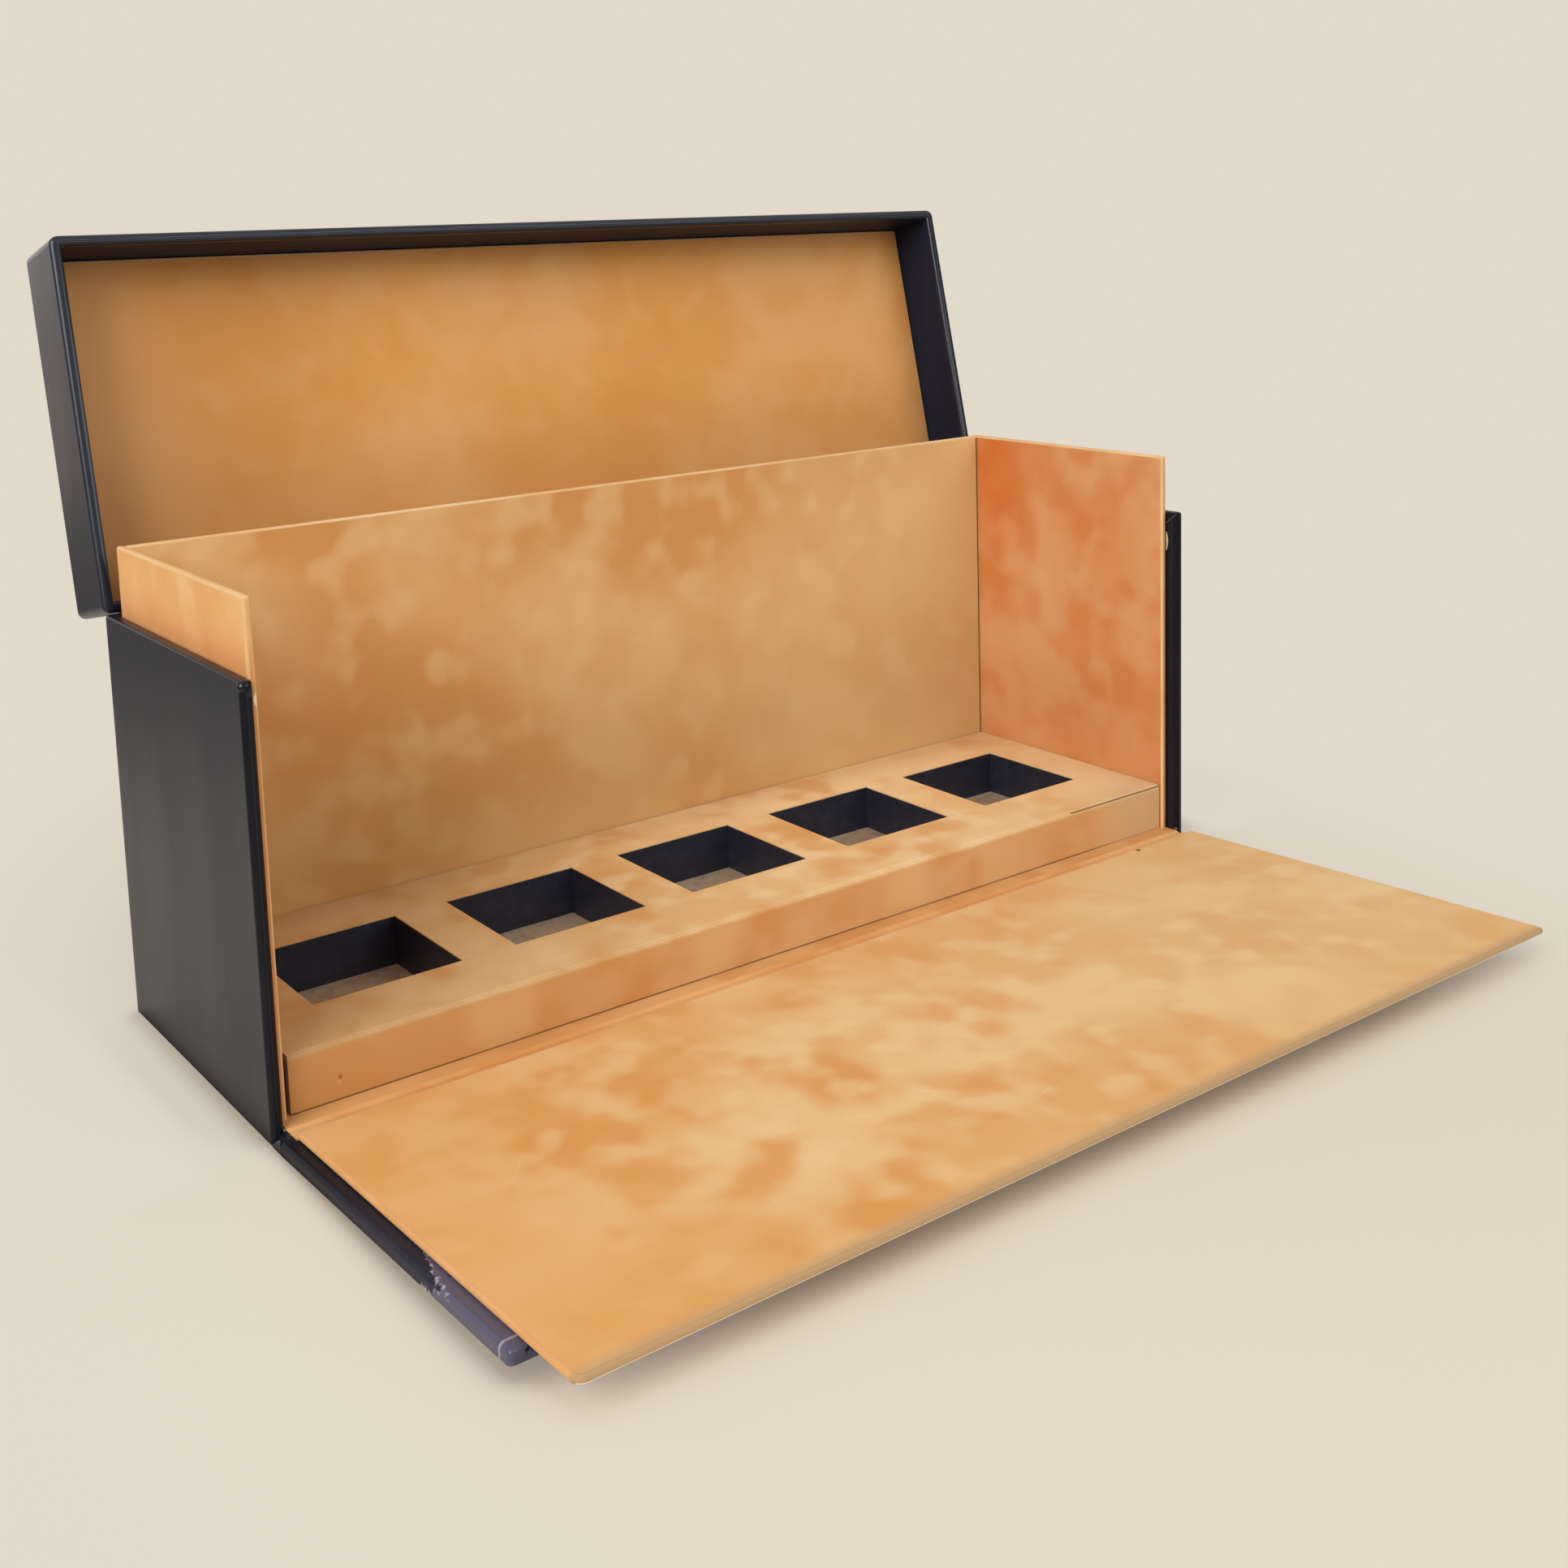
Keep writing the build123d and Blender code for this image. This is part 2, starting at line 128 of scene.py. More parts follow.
def suede(name, deep, body, pale, offset, deep_patches=0.6, pale_patches=0.6, scratched=0.3):
    """Golden suede paper with patches in its nap. offset slides the pattern, in metres."""
    material, tree, shader = new_material(name)
    place = add(tree, "TexCoord").outputs["Object"]
    place = add(tree, "Mapping", {"Vector": place, "Location": offset})

    clouds = add(tree, "TexNoise", {
        "Vector": place, "Scale": 1 / suede_cloud, "Detail": 1.0, "Roughness": 0.4,
    })
    cloudy = add(tree, "MapRange", {
        "Value": clouds, "From Min": 0.35, "From Max": 0.65, "To Max": 0.8,
    }, **smooth)
    tone = add(tree, "Mix", {0: cloudy, 6: linear(body), 7: linear(pale)}, data_type="RGBA").outputs[2]

    palms = add(tree, "TexNoise", {
        "Vector": place, "Scale": 1 / suede_palm, "Detail": 1.6, "Roughness": 0.45, "Distortion": 0.1,
    })
    palm = add(tree, "MapRange", {
        "Value": palms, "From Min": 0.4, "From Max": 0.7, "To Max": deep_patches,
    }, **smooth)
    tone = add(tree, "Mix", {0: palm, 6: tone, 7: linear(deep)}, data_type="RGBA").outputs[2]

    fingers = add(tree, "TexNoise", {
        "Vector": place, "Scale": 1 / suede_finger, "Detail": 1.2, "Roughness": 0.4,
    })
    finger = add(tree, "MapRange", {
        "Value": fingers, "From Min": 0.43, "From Max": 0.74, "To Max": pale_patches,
    }, **smooth)
    tone = add(tree, "Mix", {0: finger, 6: tone, 7: linear(pale)}, data_type="RGBA").outputs[2]

    nap = add(tree, "TexNoise", {"Vector": place, "Scale": 1 / suede_nap, "Detail": 1.0, "Roughness": 0.5})
    fine = add(tree, "MapRange", {
        "Value": nap, "From Min": 0.3, "From Max": 0.7, "To Min": 0.985, "To Max": 1.015,
    })
    napped = add(tree, "VectorMath", {0: tone, "Scale": fine}, operation="SCALE")

    contour = add(tree, "TexNoise", {
        "Vector": place, "Scale": 1 / suede_scratch, "Detail": 1.0, "Roughness": 0.4, "Distortion": 0.6,
    })
    off_line = add(tree, "Math", {0: contour, 1: 0.5}, operation="SUBTRACT")
    off_line = add(tree, "Math", {0: off_line}, operation="ABSOLUTE")
    line = add(tree, "MapRange", {
        "Value": off_line, "From Min": 0.0, "From Max": scratch_width, "To Min": 1.0, "To Max": 0.0,
    })
    short = add(tree, "MapRange", {
        "Value": fingers, "From Min": 0.58, "From Max": 0.66, "To Max": scratched,
    }, **smooth)
    nail = add(tree, "Math", {0: line, 1: short}, operation="MULTIPLY")
    colour = add(tree, "Mix", {0: nail, 6: napped, 7: linear("#f3d6a6")}, data_type="RGBA").outputs[2]
    tree.links.new(colour, shader.inputs["Base Color"])

    bump = add(tree, "Bump", {"Height": nap, "Strength": 0.1, "Distance": 0.1 * mm})
    tree.links.new(bump.outputs[0], shader.inputs["Normal"])
    shader.inputs["Roughness"].default_value = 0.9
    shader.inputs["IOR"].default_value = 1.45
    shader.inputs["Specular IOR Level"].default_value = 0.15
    shader.inputs["Sheen Weight"].default_value = 0.06
    shader.inputs["Sheen Roughness"].default_value = 0.5
    return material


def paint_over(material, amount, colour):
    """Mixes a colour into a finish, as much as a number or a node's output says."""
    tree = material.node_tree
    base = tree.nodes["Principled BSDF"].inputs["Base Color"]
    mixed = add(tree, "Mix", {
        0: amount, 6: base.links[0].from_socket, 7: linear(colour),
    }, data_type="RGBA").outputs[2]
    tree.links.new(mixed, base)


def tint_where(material, axis, start, end, strength, colour):
    """Mixes a colour into a finish from start to end along one axis, in millimetres."""
    tree = material.node_tree
    place = add(tree, "TexCoord").outputs["Object"]
    along = add(tree, "SeparateXYZ", {0: place}).outputs[axis]
    amount = add(tree, "MapRange", {
        "Value": along, "From Min": start * mm, "From Max": end * mm, "To Max": strength,
    }, **smooth)
    paint_over(material, amount, colour)


def mark(material, low, high, soft, strength, colour):
    """Mixes a colour into a finish inside a box, in millimetres, that fades out over soft."""
    tree = material.node_tree
    place = add(tree, "TexCoord").outputs["Object"]
    place = add(tree, "SeparateXYZ", {0: place})
    amount = strength
    for axis, a, b in zip("XYZ", low, high):
        off = add(tree, "Math", {0: place.outputs[axis], 1: (a + b) / 2 * mm}, operation="SUBTRACT")
        off = add(tree, "Math", {0: off}, operation="ABSOLUTE")
        inside = add(tree, "MapRange", {
            "Value": off, "From Min": (b - a) / 2 * mm, "From Max": ((b - a) / 2 + soft) * mm,
            "To Min": 1.0, "To Max": 0.0,
        }, **smooth)
        amount = add(tree, "Math", {0: inside, 1: amount}, operation="MULTIPLY")
    paint_over(material, amount, colour)


# %% Suede for each panel
suede_back = suede("suede_back", "#cf9455", "#d59b5c", "#e6c088", (0.31, 0.0, 0.12), 0.28, 0.68, 0.12)
suede_right = suede("suede_right", "#cd7d42", "#d58f56", "#e0ad7c", (0.07, 0.4, 0.02), 0.6, 0.6, 0.1)
suede_left = suede("suede_left", "#dfa060", "#e8b171", "#f0c992", (0.6, 0.25, 0.33), 0.6, 0.6)
suede_flap = suede("suede_flap", "#d9944f", "#deab6b", "#ebcd98", (0.02, 0.13, 0.0), 0.75, 0.75, 0.8)
suede_lid = suede("suede_lid", "#da954c", "#df9f58", "#e5b074", (0.45, 0.07, 0.2), 0.4, 0.45, 0.0)
suede_deck = suede("suede_deck", "#d69c5b", "#e0b67d", "#edd1a2", (0.15, 0.3, 0.4), 0.8, 0.75, 0.1)
suede_floor = suede("suede_floor", "#c48a4c", "#cd9558", "#d8a86f", (0.5, 0.1, 0.1))
suede_strip = suede("suede_fold_strip", "#cc8a4a", "#d3985a", "#dfae74", (0.4, 0.6, 0.1), 0.6, 0.6, 0.2)
# Folds get a paler finish: partly rubbed nap, partly a painted highlight along each fold.
suede_worn_highlit = suede("suede_worn_fold", "#deb077", "#e4bb85", "#ebcda0", (0.2, 0.2, 0.2), 0.5, 0.5, 0.0)
suede_edge = suede("suede_flap_edge", "#cf945b", "#d79e67", "#deab76", (0.7, 0.2, 0.5), 0.5, 0.5, 0.0)
print("suede made for eight panels and their worn folds")

# %% [markdown]
# Some marks are tied to a place rather than to the pattern. The platform's front face gets painted
# shade, so it looks deeper than the deck. Along its foot, and where the back panel butts against the
# right one, there is a gap too fine to hold much light, so the last half millimetre gets painted
# shade. The left end of the platform, the back of the deck and the foot of the back panel get
# painted shade, and the right of the deck and of the back panel get painted light. The lid lining
# gets painted shade over its left and lower parts and painted light at its far left edge.

# %% Marks tied to a place
platform_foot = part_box("platform_cover")[0][2] / mm
platform_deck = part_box("platform_cover")[1][2] / mm
neck_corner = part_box("neck_back_cover")[1][0] / mm
# Painted shade for the fine gaps between parts.
painted_joint_shade = "#3a2415"
for material, axis, start, end, strength, colour in (
        # Painted shade towards the left end of the deck and platform.
        (suede_deck, "X", 20.0, -110.0, 0.55, "#ad7f46"),
        # Painted light over the right of the deck.
        (suede_deck, "X", 30.0, 110.0, 0.3, "#e2c290"),
        # Painted shade at the back of the deck.
        (suede_deck, "Y", 17.0, 31.0, 0.3, "#a87a46"),
        # Painted shade on the platform's front face.
        (suede_deck, "Z", platform_deck - 0.7, platform_deck - 1.6, 0.55, "#d08f4e"),
        # Painted shade in the gap along the platform's foot.
        (suede_deck, "Z", platform_foot + 0.5, platform_foot + 0.15, 0.75, painted_joint_shade),
        # Painted shade towards the foot of the back panel.
        (suede_back, "Z", 75.0, 15.0, 0.5, "#ba925c"),
        # Painted light over the right of the back panel.
        (suede_back, "X", 20.0, 105.0, 0.5, "#e5c892"),
        (suede_left, "Z", 93.0, 84.0, 0.6, "#df8b4e"),
        # Painted shade in the joint where the back panel butts against the right one.
        (suede_back, "X", neck_corner - 0.5, neck_corner - 0.25, 0.8, painted_joint_shade),
        (suede_right, "Z", 60.0, 14.0, 0.4, "#be7840"),
        # Painted shade over the left part of the lid lining.
        (suede_lid, "X", -35.0, -85.0, 0.4, "#b77c42"),
        # Painted light at the lid lining's far left edge.
        (suede_lid, "X", -88.0, -117.0, 0.95, "#dfa871"),
        # Painted shade towards the lower part of the lid lining.
        (suede_lid, "Z", 125.0, 90.0, 0.3, "#b5793f"),
        (suede_flap, "X", -70.0, 110.0, 0.5, "#dfc291"),
        (suede_flap, "X", -40.0, -115.0, 0.6, "#d8984f"),
        (suede_flap, "Y", -105.0, -135.0, 0.3, "#d89f5c"),
        (suede_flap, "Y", -85.0, -45.0, 0.3, "#d9a160"),
        (suede_flap, "Y", -133.5, -136.8, 0.8, "#c0a07a"),
        (suede_edge, "Y", -134.6, -135.8, 0.95, "#b5976f")):
    tint_where(material, axis, start, end, strength, colour)
print("platform from", round(platform_foot, 2), "to", round(platform_deck, 2), "mm high")

# %% [markdown]
# The platform's front face also has pale places where the nap was pressed flat, a fine dark line
# of painted shade where the fold is slit at its right end, and one dent, drawn as a line of painted
# shade above a line of painted highlight. The right panel is deepest in its upper back corner. A
# crumb of dark dust lies on the flap near the right end of the fold. Where the flap's suede turns
# round its front edge it is greyed by handling, with a thin rubbed line at its foot.

# %% Small marks on the suede
fascia_low = platform_foot + 0.6
fascia_high = platform_deck - 1.2
for x, half, amount in ((31.0, 4.0, 0.5), (-21.0, 2.5, 0.4), (-72.0, 5.0, 0.3), (60.0, 4.0, 0.3)):
    low = (x - half, -34.0, fascia_low + 3)
    high = (x + half, -32.5, fascia_high - 2)
    mark(suede_deck, low, high, 5.0, amount, "#e3bd85")
mark(suede_deck, (104.0, -34.0, fascia_low), (116.0, -32.9, fascia_high), 16.0, 0.65, "#d2b286")
# Painted shade of the fine slit along the fold at its right end.
low = (84.0, -33.1, platform_deck - 0.5)
high = (116.0, -32.2, platform_deck - 0.3)
mark(suede_deck, low, high, 0.12, 0.8, "#5f4023")
# The dent: a line of painted shade above a line of painted highlight.
mark(suede_deck, (-105.3, -33.5, 6.9), (-105.2, -32.5, 7.2), 0.5, 0.8, "#8d5527")
mark(suede_deck, (-105.5, -33.5, 6.1), (-105.4, -32.5, 6.2), 0.5, 0.6, "#e3b478")
mark(suede_right, (116.0, 26.0, 84.0), (116.0, 34.0, 98.0), 22.0, 0.65, "#d2712c")
mark(suede_flap, (96.2, -43.4, 3.0), (96.9, -42.7, 6.0), 0.5, 0.9, "#4a2c14")
for material in (suede_flap, suede_edge):
    mark(material, (-118.0, -137.3, 5.7), (118.0, -136.2, 6.2), 0.1, 1.0, "#fff4e2")
print("front face marked from", round(fascia_low, 2), "to", round(fascia_high, 2), "mm high")

# %% [markdown]
# ## Leatherette paper
#
# Leatherette is a paper with a thin pigmented plastic skin, embossed to look like fine leather.
# It is nearly black, with a navy cast, and satin: it mirrors the pale room softly, which is what
# turns the side wall charcoal grey. The grain is about 0.4 mm, made by rounded Voronoi cells. The
# paper was drawn tight over the boards by hand, so its gloss varies slowly in faint streaks. At
# the folds of the lid it was stretched and rubbed, so there it is smoother and catches a line of
# light. The case's front edges are darker, and the inner sides, which nobody rubs, stayed duller.

# %% Leatherette
leather_grain = 0.42 * mm
leather_streak = 26 * mm


def leatherette(name, body, worn, roughness, mirror=0.34, grain_depth=0.08):
    """Satin navy leatherette with streaks that run up the walls. mirror is how much it reflects."""
    material, tree, shader = new_material(name)
    place = add(tree, "TexCoord").outputs["Object"]
    stretched = add(tree, "Mapping", {"Vector": place, "Scale": (1, 1, 0.16)})
    streaks = add(tree, "TexNoise", {
        "Vector": stretched, "Scale": 1 / leather_streak, "Detail": 4.0, "Roughness": 0.6,
    })
    grain = add(tree, "TexVoronoi", {
        "Vector": place, "Scale": 1 / leather_grain,
    }, feature="SMOOTH_F1").outputs["Distance"]
    wear = add(tree, "MapRange", {"Value": streaks, "From Min": 0.35, "From Max": 0.72}, **smooth)
    colour = add(tree, "Mix", {0: wear, 6: linear(body), 7: linear(worn)}, data_type="RGBA").outputs[2]
    tree.links.new(colour, shader.inputs["Base Color"])
    gloss = add(tree, "MapRange", {
        "Value": streaks, "From Min": 0.3, "From Max": 0.7,
        "To Min": roughness - 0.06, "To Max": roughness + 0.08,
    })
    tree.links.new(gloss.outputs[0], shader.inputs["Roughness"])
    bump = add(tree, "Bump", {"Height": grain, "Strength": grain_depth, "Distance": 0.04 * mm})
    tree.links.new(bump.outputs[0], shader.inputs["Normal"])
    shader.inputs["IOR"].default_value = 1.45
    shader.inputs["Specular IOR Level"].default_value = mirror
    shader.inputs["Specular Tint"].default_value = linear("#eaf0ff")
    return material


navy_paper = leatherette("navy_leatherette", "#161822", "#1d202b", 0.3)
navy_fold = leatherette("navy_leatherette_fold", "#161922", "#1f232e", 0.27, 0.75, 0.02)
navy_edge = leatherette("navy_leatherette_edge", "#111218", "#191a21", 0.2, 0.22, 0.02)
navy_inside = leatherette("navy_leatherette_turned_in", "#1e2131", "#262a3d", 0.45, 0.12)
mark(navy_edge, (117.0, -37.2, 2.7), (117.9, -36.4, 3.0), 0.3, 0.5, "#8d8b93")
print("leatherette made for walls, folds, front edges and turned-in parts")

# %% [markdown]
# ## Board and card
#
# Greyboard is pressed waste paper: grey, with darker flecks. It is hidden under the papers, but it
# gets its own finish, because the box may be looked at in pieces. The pockets are lined with a
# smooth dark navy card and closed below by a greige one.


# %% Greyboard and cards
def board(name, body, fleck, fleck_size, roughness):
    """Matt board or card with flecks of a second colour."""
    material, tree, shader = new_material(name)
    place = add(tree, "TexCoord").outputs["Object"]
    flecks = add(tree, "TexNoise", {
        "Vector": place, "Scale": 1 / fleck_size, "Detail": 3.0, "Roughness": 0.7,
    })
    amount = add(tree, "MapRange", {"Value": flecks, "From Min": 0.45, "From Max": 0.65}, **smooth)
    colour = add(tree, "Mix", {0: amount, 6: linear(body), 7: linear(fleck)}, data_type="RGBA").outputs[2]
    tree.links.new(colour, shader.inputs["Base Color"])
    bump = add(tree, "Bump", {"Height": flecks, "Strength": 0.3, "Distance": 0.05 * mm})
    tree.links.new(bump.outputs[0], shader.inputs["Normal"])
    shader.inputs["Roughness"].default_value = roughness
    return material


greyboard = board("greyboard", "#8d8880", "#6f6a63", 1.2 * mm, 0.9)
navy_card = board("navy_card", "#222533", "#292c3b", 4 * mm, 0.42)
greige_card = board("greige_card", "#a9927a", "#98806a", 6 * mm, 0.8)

# %% Give every node its finish
finishes = {
    suede_back: ["neck_back_cover"],
    suede_right: ["neck_right_cover"],
    suede_left: ["neck_left_cover"],
    suede_flap: ["neck_front_cover"],
    suede_strip: ["flap_hinge_lining"],
    suede_lid: ["lid_lining_cover"],
    suede_deck: ["platform_cover"],
    suede_floor: ["floor_lining"],
    navy_paper: ["case_wrap", "base_sheet", "lid_wrap", "lid_hinge_strip", "flap_wrap"],
    navy_card: [name for name in nodes if name.startswith("pocket_sleeve")],
    greige_card: ["pocket_floor"],
    greyboard: [name for name in nodes if name.endswith("_board")],
}
for material, names in finishes.items():
    for name in names:
        for slot in nodes[name].material_slots:
            slot.material = material
print(sum(len(names) for names in finishes.values()), "nodes finished of", len(nodes))

# %% [markdown]
# ## Modelling the papers
#
# A rigid box is all boards with paper pulled round them, so every visible piece is a thin sheet
# folded over a panel. Each one starts as a block or a plane of the panel's size. The faces that
# carry no paper are deleted, the folds are rounded with the bevel tool, and Solidify gives the
# sheet its thickness inwards, towards the board. The small functions below choose faces and edges
# by their place, because a script can't click on them. The last one settles a finished piece: it
# hangs the piece on the body it moves with and hides the imported node it stands for.

# %% Blocks and sheets
import bmesh


def node_box(name):
    """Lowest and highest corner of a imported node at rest, in millimetres."""
    return [[v / mm for v in corner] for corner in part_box(name)]


def open_piece(name, low, high, finish, fold_finish):
    """Gives the mesh that was just added its name, corners and finishes, and opens it for editing."""
    piece = bpy.context.object
    piece.name = name
    piece.location = [(a + b) / 2 * mm for a, b in zip(low, high)]
    piece.scale = [(b - a) * mm if b > a else 1 for a, b in zip(low, high)]
    bpy.ops.object.transform_apply(location=True, rotation=True, scale=True)
    piece.data.materials.append(finish)
    piece.data.materials.append(fold_finish)
    bpy.ops.object.mode_set(mode="EDIT")
    return piece


def block(name, low, high, finish, fold_finish):
    """A block between two corners in millimetres, in edit mode. Rounded folds get the second finish."""
    bpy.ops.object.select_all(action="DESELECT")
    bpy.ops.mesh.primitive_cube_add(size=1)
    return open_piece(name, low, high, finish, fold_finish)


def sheet(name, low, high, finish, fold_finish):
    """A flat sheet between two corners at the same height, facing up, in edit mode."""
    bpy.ops.object.select_all(action="DESELECT")
    bpy.ops.mesh.primitive_plane_add(size=1)
    return open_piece(name, low, high, finish, fold_finish)


# %% Choosing and cutting
def pick(kind, test):
    """Selects the faces, edges or points of the edited mesh that pass a test, and counts them."""
    bpy.ops.mesh.select_mode(type=kind)
    bpy.ops.mesh.select_all(action="DESELECT")
    shape = bmesh.from_edit_mesh(bpy.context.edit_object.data)
    choices = {"FACE": shape.faces, "EDGE": shape.edges, "VERT": shape.verts}
    chosen = [part for part in choices[kind] if test(part)]
    for part in chosen:
        part.select_set(True)
    bmesh.update_edit_mesh(bpy.context.edit_object.data)
    return len(chosen)


def pick_faces(test):
    """Selects the faces whose middle, in millimetres, and normal pass a test."""
    return pick("FACE", lambda face: test(face.calc_center_median() / mm, face.normal))


def pick_edges(test):
    """Selects the edges whose two ends, in millimetres, pass a test."""
    return pick("EDGE", lambda edge: test(*[corner.co / mm for corner in edge.verts]))


def pick_points(test):
    """Selects the points whose place, in millimetres, passes a test."""
    return pick("VERT", lambda point: test(point.co / mm))


def pick_turns(test):
    """Selects the edges between a level and an upright face whose two ends pass a test."""
    def turns(edge):
        tilts = sorted(abs(face.normal.z) for face in edge.link_faces)
        return len(tilts) == 2 and tilts[0] < 0.1 and tilts[1] > 0.9 and (
            test(*[corner.co / mm for corner in edge.verts]))

    return pick("EDGE", turns)


def cut(axis, place):
    """Cuts the whole mesh square to an axis, at a place in millimetres."""
    across = [float(letter == axis) for letter in "XYZ"]
    bpy.ops.mesh.select_all(action="SELECT")
    bpy.ops.mesh.bisect(plane_co=[v * place * mm for v in across], plane_no=across)


def move(x, y, z):
    """Moves what is selected by millimetres."""
    bpy.ops.transform.translate(value=(x * mm, y * mm, z * mm))


def face_up(up):
    """Makes all faces of an open surface agree, with its level faces up or down."""
    bpy.ops.mesh.select_all(action="SELECT")
    bpy.ops.mesh.normals_make_consistent(inside=False)
    shape = bmesh.from_edit_mesh(bpy.context.edit_object.data)
    level = max(shape.faces, key=lambda face: abs(face.normal.z) * face.calc_area())
    if (level.normal.z > 0) != up:
        bpy.ops.mesh.flip_normals()


def near(a, b):
    """True where two sizes in millimetres agree to a hundredth."""
    return abs(a - b) < 0.01


def upright(a, b):
    """True for an edge that stands straight up."""
    return near(a.x, b.x) and near(a.y, b.y)


def at_height(a, b, z):
    """True for an edge with both ends at one height."""
    return near(a.z, z) and near(b.z, z)


def at_depth(a, b, y):
    """True for an edge with both ends equally far back in the box."""
    return near(a.y, y) and near(b.y, y)


# %% Rounding and finishing
def round_folds(radius, segments=4):
    """Rounds the selected edges."""
    bpy.ops.mesh.bevel(offset=radius * mm, segments=segments, profile=0.5, affect="EDGES", material=1)


def close_piece(angle=40):
    """Leaves edit mode and shades everything smoothly that turns by less than an angle."""
    bpy.ops.object.mode_set(mode="OBJECT")
    bpy.ops.object.shade_smooth_by_angle(angle=math.radians(angle))


def paper(piece, thickness):
    """Leaves edit mode, gives the surface its thickness inwards and shades the folds smoothly."""
    bpy.ops.object.mode_set(mode="OBJECT")
    skin = piece.modifiers.new("thickness", "SOLIDIFY")
    skin.thickness = thickness * mm
    skin.offset = -1.0
    skin.use_even_offset = True
    bpy.ops.object.modifier_apply(modifier="thickness")
    bpy.ops.object.shade_smooth_by_angle(angle=math.radians(40))
    flats = piece.modifiers.new("flats", "WEIGHTED_NORMAL")
    flats.keep_sharp = True
    flats.weight = 100
    bpy.ops.object.modifier_apply(modifier="flats")
    print(piece.name, "has", len(piece.data.polygons), "faces")


def board_done(piece, node, body, turn=None):
    """Leaves edit mode and lets a rounded board take its node's place."""
    close_piece()
    settle(piece, body, node, turn)
    print(piece.name, "has", len(piece.data.polygons), "faces")


# %% Copying, turning and settling
def only(piece):
    """Makes a piece the only one selected, and the active one."""
    bpy.ops.object.select_all(action="DESELECT")
    piece.select_set(True)
    bpy.context.view_layer.objects.active = piece


def copy_to(piece, name, shift):
    """A copy of a finished piece with its own mesh, moved by a shift in millimetres."""
    only(piece)
    bpy.ops.object.duplicate(linked=False)
    twin = bpy.context.object
    twin.name = name
    twin.location = [v * mm for v in shift]
    bpy.ops.object.transform_apply(location=True, rotation=True, scale=True)
    return twin


def mirror_to(piece, name):
    """A mirrored copy of a finished piece for the other end of the box."""
    twin = copy_to(piece, name, (0, 0, 0))
    twin.scale = (-1, 1, 1)
    bpy.ops.object.transform_apply(location=True, rotation=True, scale=True)
    bpy.ops.object.mode_set(mode="EDIT")
    bpy.ops.mesh.select_all(action="SELECT")
    bpy.ops.mesh.normals_make_consistent(inside=False)
    bpy.ops.object.mode_set(mode="OBJECT")
    return twin


def stand(piece, hinge, angle):
    """Turns a piece that was modelled lying on its hinge line, and keeps its place in its mesh."""
    bpy.ops.object.mode_set(mode="OBJECT")
    piece.rotation_euler = (math.radians(angle), 0, 0)
    piece.location = [v * mm for v in hinge]
    only(piece)
    bpy.ops.object.transform_apply(location=True, rotation=True, scale=True)


def settle(piece, body, node=None, turn=None):
    """Turns a piece up with its body, where asked, hangs it on that body, and hides the imported node it
    stands for.
    """
    if turn:
        stand(piece, *turn)
    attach(piece, body)
    if node:
        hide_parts(node)


# %% Sizes of the papers and hinges
suede_thick = 0.25
paper_thick = 0.2
suede_fold = 0.5
case_low, case_high = node_box("case_wrap")
case_rim = case_high[2]
lid_hinge = (0, case_high[1], case_rim)
lid_turn = -102.5
flap_hinge = (0, -39.4, 0.2)
flap_turn = -2.0
lid_rest = (lid_hinge, lid_turn)
flap_rest = (flap_hinge, flap_turn)
print("case", case_low, case_high, "mm")

# %% [markdown]
# ## Neck panels
#
# The neck is three thin boards that stand inside the case and rise above its walls. Suede is
# folded over the top and front edge of each and pasted down a little way on the far side. So each
# cover starts as the board's block, loses its foot, its back end and the far side below the
# turned-over part, and gets its folds rounded. The three panels butt against each other in the
# back corners, which leaves the fine joint lines of the real box.

# %% Neck panels
neck_cover_foot = case_rim - 12
neck_turn_over = 12

low, high = node_box("neck_back_cover")
neck_back = block("neck_back_suede", low, high, suede_back, suede_worn_highlit)
cut("Z", neck_cover_foot)
pick_faces(lambda middle, normal: abs(normal.x) > 0.9 or (
    normal.z < -0.9) or (normal.y > 0.9 and middle.z < neck_cover_foot))
bpy.ops.mesh.delete(type="FACE")
pick_edges(lambda a, b: at_height(a, b, high[2]) and near(a.y, b.y))
round_folds(suede_fold)
paper(neck_back, suede_thick)
settle(neck_back, "root", "neck_back_cover")

for side, outward, material in (("left", -1, suede_left), ("right", 1, suede_right)):
    low, high = node_box("neck_" + side + "_cover")
    neck_side = block("neck_" + side + "_suede", low, high, material, suede_worn_highlit)
    cut("Z", neck_cover_foot)
    cut("Y", low[1] + neck_turn_over)
    pick_faces(lambda middle, normal: normal.z < -0.9 or normal.y > 0.9 or (
        normal.x * outward > 0.9 and middle.z < neck_cover_foot
        and middle.y > low[1] + neck_turn_over))
    bpy.ops.mesh.delete(type="FACE")
    pick_edges(lambda a, b: (at_height(a, b, high[2]) and not at_depth(a, b, high[1])) or (
        at_depth(a, b, low[1]) and near(a.x, b.x)))
    round_folds(suede_fold)
    paper(neck_side, suede_thick)
    settle(neck_side, "root", "neck_" + side + "_cover")

# %% [markdown]
# ## Bottle platform
#
# The platform is one folded board with five square windows. Its suede lies over the deck, bends
# down over the front edge in a soft fold and ends at the floor. The windows are cut with a steel
# rule die, whose knives cross at the corners, so each front right corner has a short slit that
# runs on past the window. Cutting a plane with straight cuts along all these lines gives the
# windows and slits as faces that are simply deleted. The front edge is then extruded down and the
# fold rounded.

